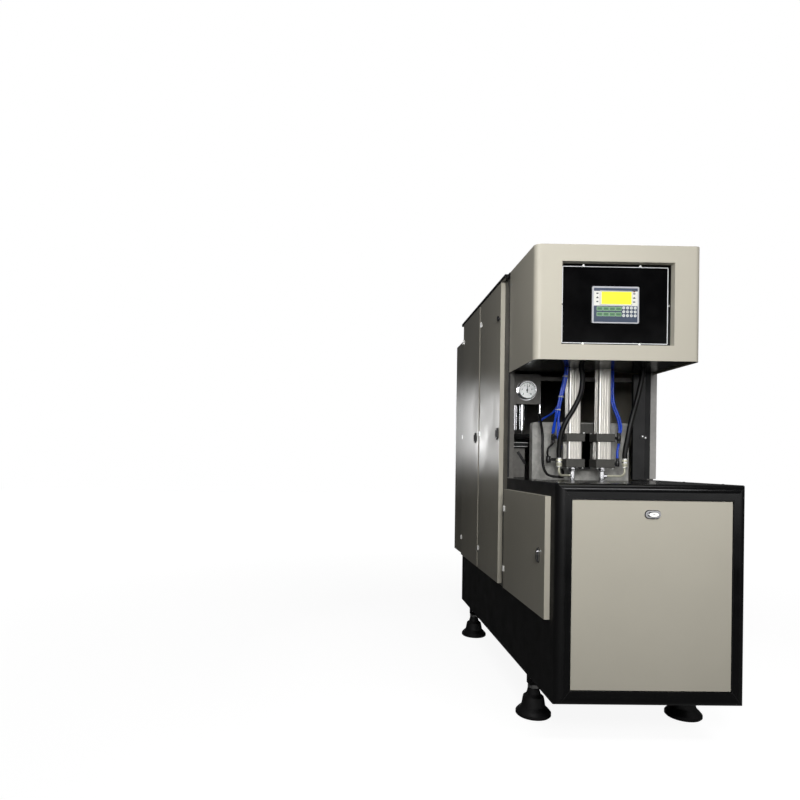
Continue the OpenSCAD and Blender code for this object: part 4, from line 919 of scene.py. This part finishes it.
# screws along the edges of the rear cover, the roof, the hood and the table sheet
cover_lo, cover_hi, _ = box_of("rear_cover")
s = Soup()
for sx, x in ((-1, cover_lo.x), (1, cover_hi.x)):
    for i in range(5):
        z = cover_lo.z + 0.08 + i * (cover_hi.z - cover_lo.z - 0.16) / 4
        s.button((x, cover_lo.y + 0.018, z), X * sx, 0.0055, 0.0010, 0.0036, 0.0026)
s.make("cover_screws", "zinc_steel", "frame", "zinc_steel")
s = Soup()
for x in (roof_lo.x + 0.03, 0.0, roof_hi.x - 0.03):
    for y in (roof_lo.y + 0.06, roof_c.y, roof_hi.y - 0.03):
        s.button((x, y, roof_hi.z), Z, 0.0060, 0.0012, 0.0040, 0.0028)
s.make("roof_screws", "zinc_steel", "frame", "zinc_steel")
hood_lo, hood_hi, hood_c = box_of("hood_shell")
s = Soup()
for sx, x in ((-1, hood_lo.x), (1, hood_hi.x)):
    for z in (hood_lo.z + 0.06, hood_c.z, hood_hi.z - 0.06):
        s.button((x, hood_hi.y - 0.018, z), X * sx, 0.0045, 0.0008, 0.0030, 0.0020)
s.make("hood_screws", "zinc_steel", "frame", "zinc_steel")
table_lo, table_hi, table_c = box_of("table_top")
s = Soup()
for x in (table_lo.x + 0.030, table_hi.x - 0.030):
    for y in (table_lo.y + 0.05, table_c.y, table_hi.y - 0.05):
        s.button((x, y, table_hi.z), Z, 0.0050, 0.0008, 0.0034, 0.0022)
s.make("table_screws", "latch_black", "frame", "frame_black")
# hose tails of the moulds' cooling water
for node, body, dy in (("front_mould", "frame", -0.022), ("rear_mould", "clamp_carriage", 0.022)):
    lo, hi, c = box_of(node)
    s = Soup()
    for sx, x in ((-1, lo.x), (1, hi.x)):
        for z in (hi.z - 0.090, hi.z - 0.170):
            s.lathe([(0.0085, 0), (0.0085, 0.006), (0.0060, 0.007), (0.0060, 0.011), (0.0068, 0.012),
                     (0.0055, 0.020)], (x, c.y + dy, z), X * sx, 18)
    s.make(node + "_hose_tails", "brass", body, "brass")
# ports and tie rods of the clamp cylinder
ROD_OUT = 0.066
clamp_lo, clamp_hi, clamp_c = box_of("clamp_cylinder")
s = Soup()
for y in (clamp_lo.y + 0.010, clamp_hi.y - 0.010):
    s.lathe([(0.011, 0), (0.011, 0.006), (0.009, 0.007), (0.009, 0.016)],
            (0, y, clamp_hi.z - 0.001), Z, 6, 0.2)
s.make("cylinder_ports", "brass", "frame", "brass")
s = Soup()
for x in (-ROD_OUT, ROD_OUT):
    for dz in (-ROD_OUT, ROD_OUT):
        s.tube([(x, y, clamp_c.z + dz) for y in (clamp_lo.y + 0.018, clamp_hi.y - 0.018)], 0.006, 14)
s.make("cylinder_tie_rods", "zinc_steel", "frame", "zinc_steel")


# ---------------------------------------------------------------- floor
FLOOR_GREY = (0.22, 0.22, 0.22, 1)
GLOW_NEAR, GLOW_FAR = 0.92, 1.0        # emission near the machine, where the shadow falls, and far off
GLOW_RADII = (1.6, 4.5)
floor_mesh = bpy.data.meshes.new("floor")
floor_mesh.from_pydata([(-14, -10, 0), (14, -10, 0), (14, 16, 0), (-14, 16, 0)], [], [[0, 1, 2, 3]])
o = bpy.data.objects.new("floor", floor_mesh)
scene.collection.objects.link(o)
floor_mat = bpy.data.materials.new("floor")
floor_mat.use_nodes = True
tree = floor_mat.node_tree
floor_noise = add(tree, "ShaderNodeTexNoise", {"Scale": 0.8}).outputs["Fac"]
distance = tree.nodes.new("ShaderNodeVectorMath")
distance.operation = "LENGTH"
tree.links.new(tree.nodes.new("ShaderNodeTexCoord").outputs["Object"], distance.inputs[0])
glow = map_range(tree, distance.outputs["Value"], GLOW_RADII, (GLOW_NEAR, GLOW_FAR))
grey = ramp(tree, floor_noise, ((0.0, shade(FLOOR_GREY, 0.99)), (1.0, FLOOR_GREY)))
seen = tree.nodes.new("ShaderNodeLightPath").outputs["Is Camera Ray"]
for key, value in (("Roughness", 0.9), ("Specular IOR Level", 0.1), ("Emission Color", (1, 1, 1, 1)),
                   ("Base Color", grey), ("Emission Strength", calc(tree, "MULTIPLY", seen, glow))):
    put(tree, tree.nodes["Principled BSDF"].inputs[key], value)
floor_mesh.materials.append(floor_mat)
o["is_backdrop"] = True


# ---------------------------------------------------------------- world
BOUNCE, SHEEN, WHITE = 0.035, 0.06, 1.0          # world's strength for bounced light, reflections, camera
BAND_STRENGTH, BACK_STRENGTH = 1.3, 8.0
# stops over (1 + z) / 2 of the direction, black to white to black
FRONT_BAND = ((0.44, 0.0), (0.49, 1.0), (0.565, 1.0), (0.590, 0.0))
FRONT_Y = (-0.25, -0.60)                         # y at which the front band begins and is full
BACK_X_IN, BACK_X_OUT = (-0.195, -0.235), (-0.262, -0.235)   # x at which its sides are dark and full
BACK_Y = (0.55, 0.85)
BACK_Z, BACK_HALF = 0.058, (0.085, 0.02)         # z of the back band, and how far off it is gone and full

world = bpy.data.worlds.new("studio")
scene.world = world
world.use_nodes = True
tree = world.node_tree
tree.nodes.clear()
ray = tree.nodes.new("ShaderNodeLightPath").outputs
look = tree.nodes.new("ShaderNodeTexCoord").outputs["Generated"]
look = add(tree, "ShaderNodeSeparateXYZ", {0: look}).outputs
# reflections see a band low in front of the machine, like a studio's strip wall
band = ramp(tree, map_range(tree, look["Z"], (-1.0, 1.0)), [(p, (v, v, v, 1)) for p, v in FRONT_BAND])
front = map_range(tree, look["Y"], FRONT_Y, (0.0, BAND_STRENGTH))
# and a narrow, strong one behind it at the left, which the side doors catch at a grazing angle
back = calc(tree, "MULTIPLY", map_range(tree, look["X"], BACK_X_IN, (0.0, BACK_STRENGTH)),
            map_range(tree, look["X"], BACK_X_OUT))
back = calc(tree, "MULTIPLY", back, map_range(tree, look["Y"], BACK_Y))
height = calc(tree, "ABSOLUTE", calc(tree, "SUBTRACT", look["Z"], BACK_Z))
sheen = calc(tree, "MULTIPLY_ADD", back, map_range(tree, height, BACK_HALF, smooth=True), SHEEN)
reflected = calc(tree, "MULTIPLY_ADD", band, front, sheen)
bounced, glossy, white = [
    add(tree, "ShaderNodeBackground", {"Color": (1, 1, 1, 1), "Strength": strength}).outputs[0]
    for strength in (BOUNCE, reflected, WHITE)]
# dim for bounced light, brighter for reflections, white for the camera and through glass
see = calc(tree, "MAXIMUM", ray["Is Camera Ray"], ray["Is Transmission Ray"])
unseen = add(tree, "ShaderNodeMixShader", {"Fac": ray["Is Glossy Ray"], 1: bounced, 2: glossy}).outputs[0]
surface = add(tree, "ShaderNodeMixShader", {"Fac": see, 1: unseen, 2: white}).outputs[0]
add(tree, "ShaderNodeOutputWorld", {"Surface": surface})


# ---------------------------------------------------------------- lamps and camera
def area(name, at, target, size, power, spread=180):
    d = bpy.data.lights.new(name, "AREA")
    d.shape = "RECTANGLE"
    d.size, d.size_y = size
    d.energy = power
    d.spread = math.radians(spread)
    o = bpy.data.objects.new(name, d)
    scene.collection.objects.link(o)
    o.location = at
    o.rotation_mode = "QUATERNION"
    o.rotation_quaternion = (Vector(target) - Vector(at)).to_track_quat("-Z", "Y")


area("key", at=(-0.75, -3.0, 1.72), target=(0.0, -0.9, 1.3), size=(0.8, 0.8), power=15.7, spread=120)
area("fill", at=(-1.1, -1.5, 2.1), target=(-0.33, -0.75, 1.75), size=(0.5, 0.5), power=0.9, spread=75)
area("rim", at=(0.5, -3.1, 3.3), target=(0.1, -0.9, 0.9), size=(2.8, 0.5), power=38)
area("top", at=(0.3, -0.4, 4.2), target=(0.0, 0.0, 0.9), size=(2.4, 2.4), power=24)

# place in metres, angles in degrees, focal length and middle in pixels of an 800 x 800 picture
PICTURE, SENSOR = 800, 36
CAM = {"at": (-1.0474, -3.0471, 0.9762), "yaw": 0.6733, "pitch": -0.2195, "roll": 0.8094,
       "f": 614.1, "px": 351.4, "py": 459.7}
yaw, pitch, roll = (math.radians(CAM[k]) for k in ("yaw", "pitch", "roll"))
ahead = Vector((math.sin(yaw) * math.cos(pitch), math.cos(yaw) * math.cos(pitch), -math.sin(pitch)))
level = Vector((math.cos(yaw), -math.sin(yaw), 0))
up = level.cross(ahead)
across = level * math.cos(roll) + up * math.sin(roll)
upward = -level * math.sin(roll) + up * math.cos(roll)
cam_data = bpy.data.cameras.new("camera")
cam_data.sensor_width = SENSOR
cam_data.lens = CAM["f"] / PICTURE * SENSOR
cam_data.shift_x = (PICTURE / 2 - CAM["px"]) / PICTURE
cam_data.shift_y = (CAM["py"] - PICTURE / 2) / PICTURE
cam_data.clip_end = 60
cam = bpy.data.objects.new("camera", cam_data)
scene.collection.objects.link(cam)
cam.matrix_world = Matrix.Translation(CAM["at"]) @ Matrix((across, upward, -ahead)).transposed().to_4x4()
scene.camera = cam
scene.view_settings.view_transform = "Standard"

lo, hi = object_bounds()
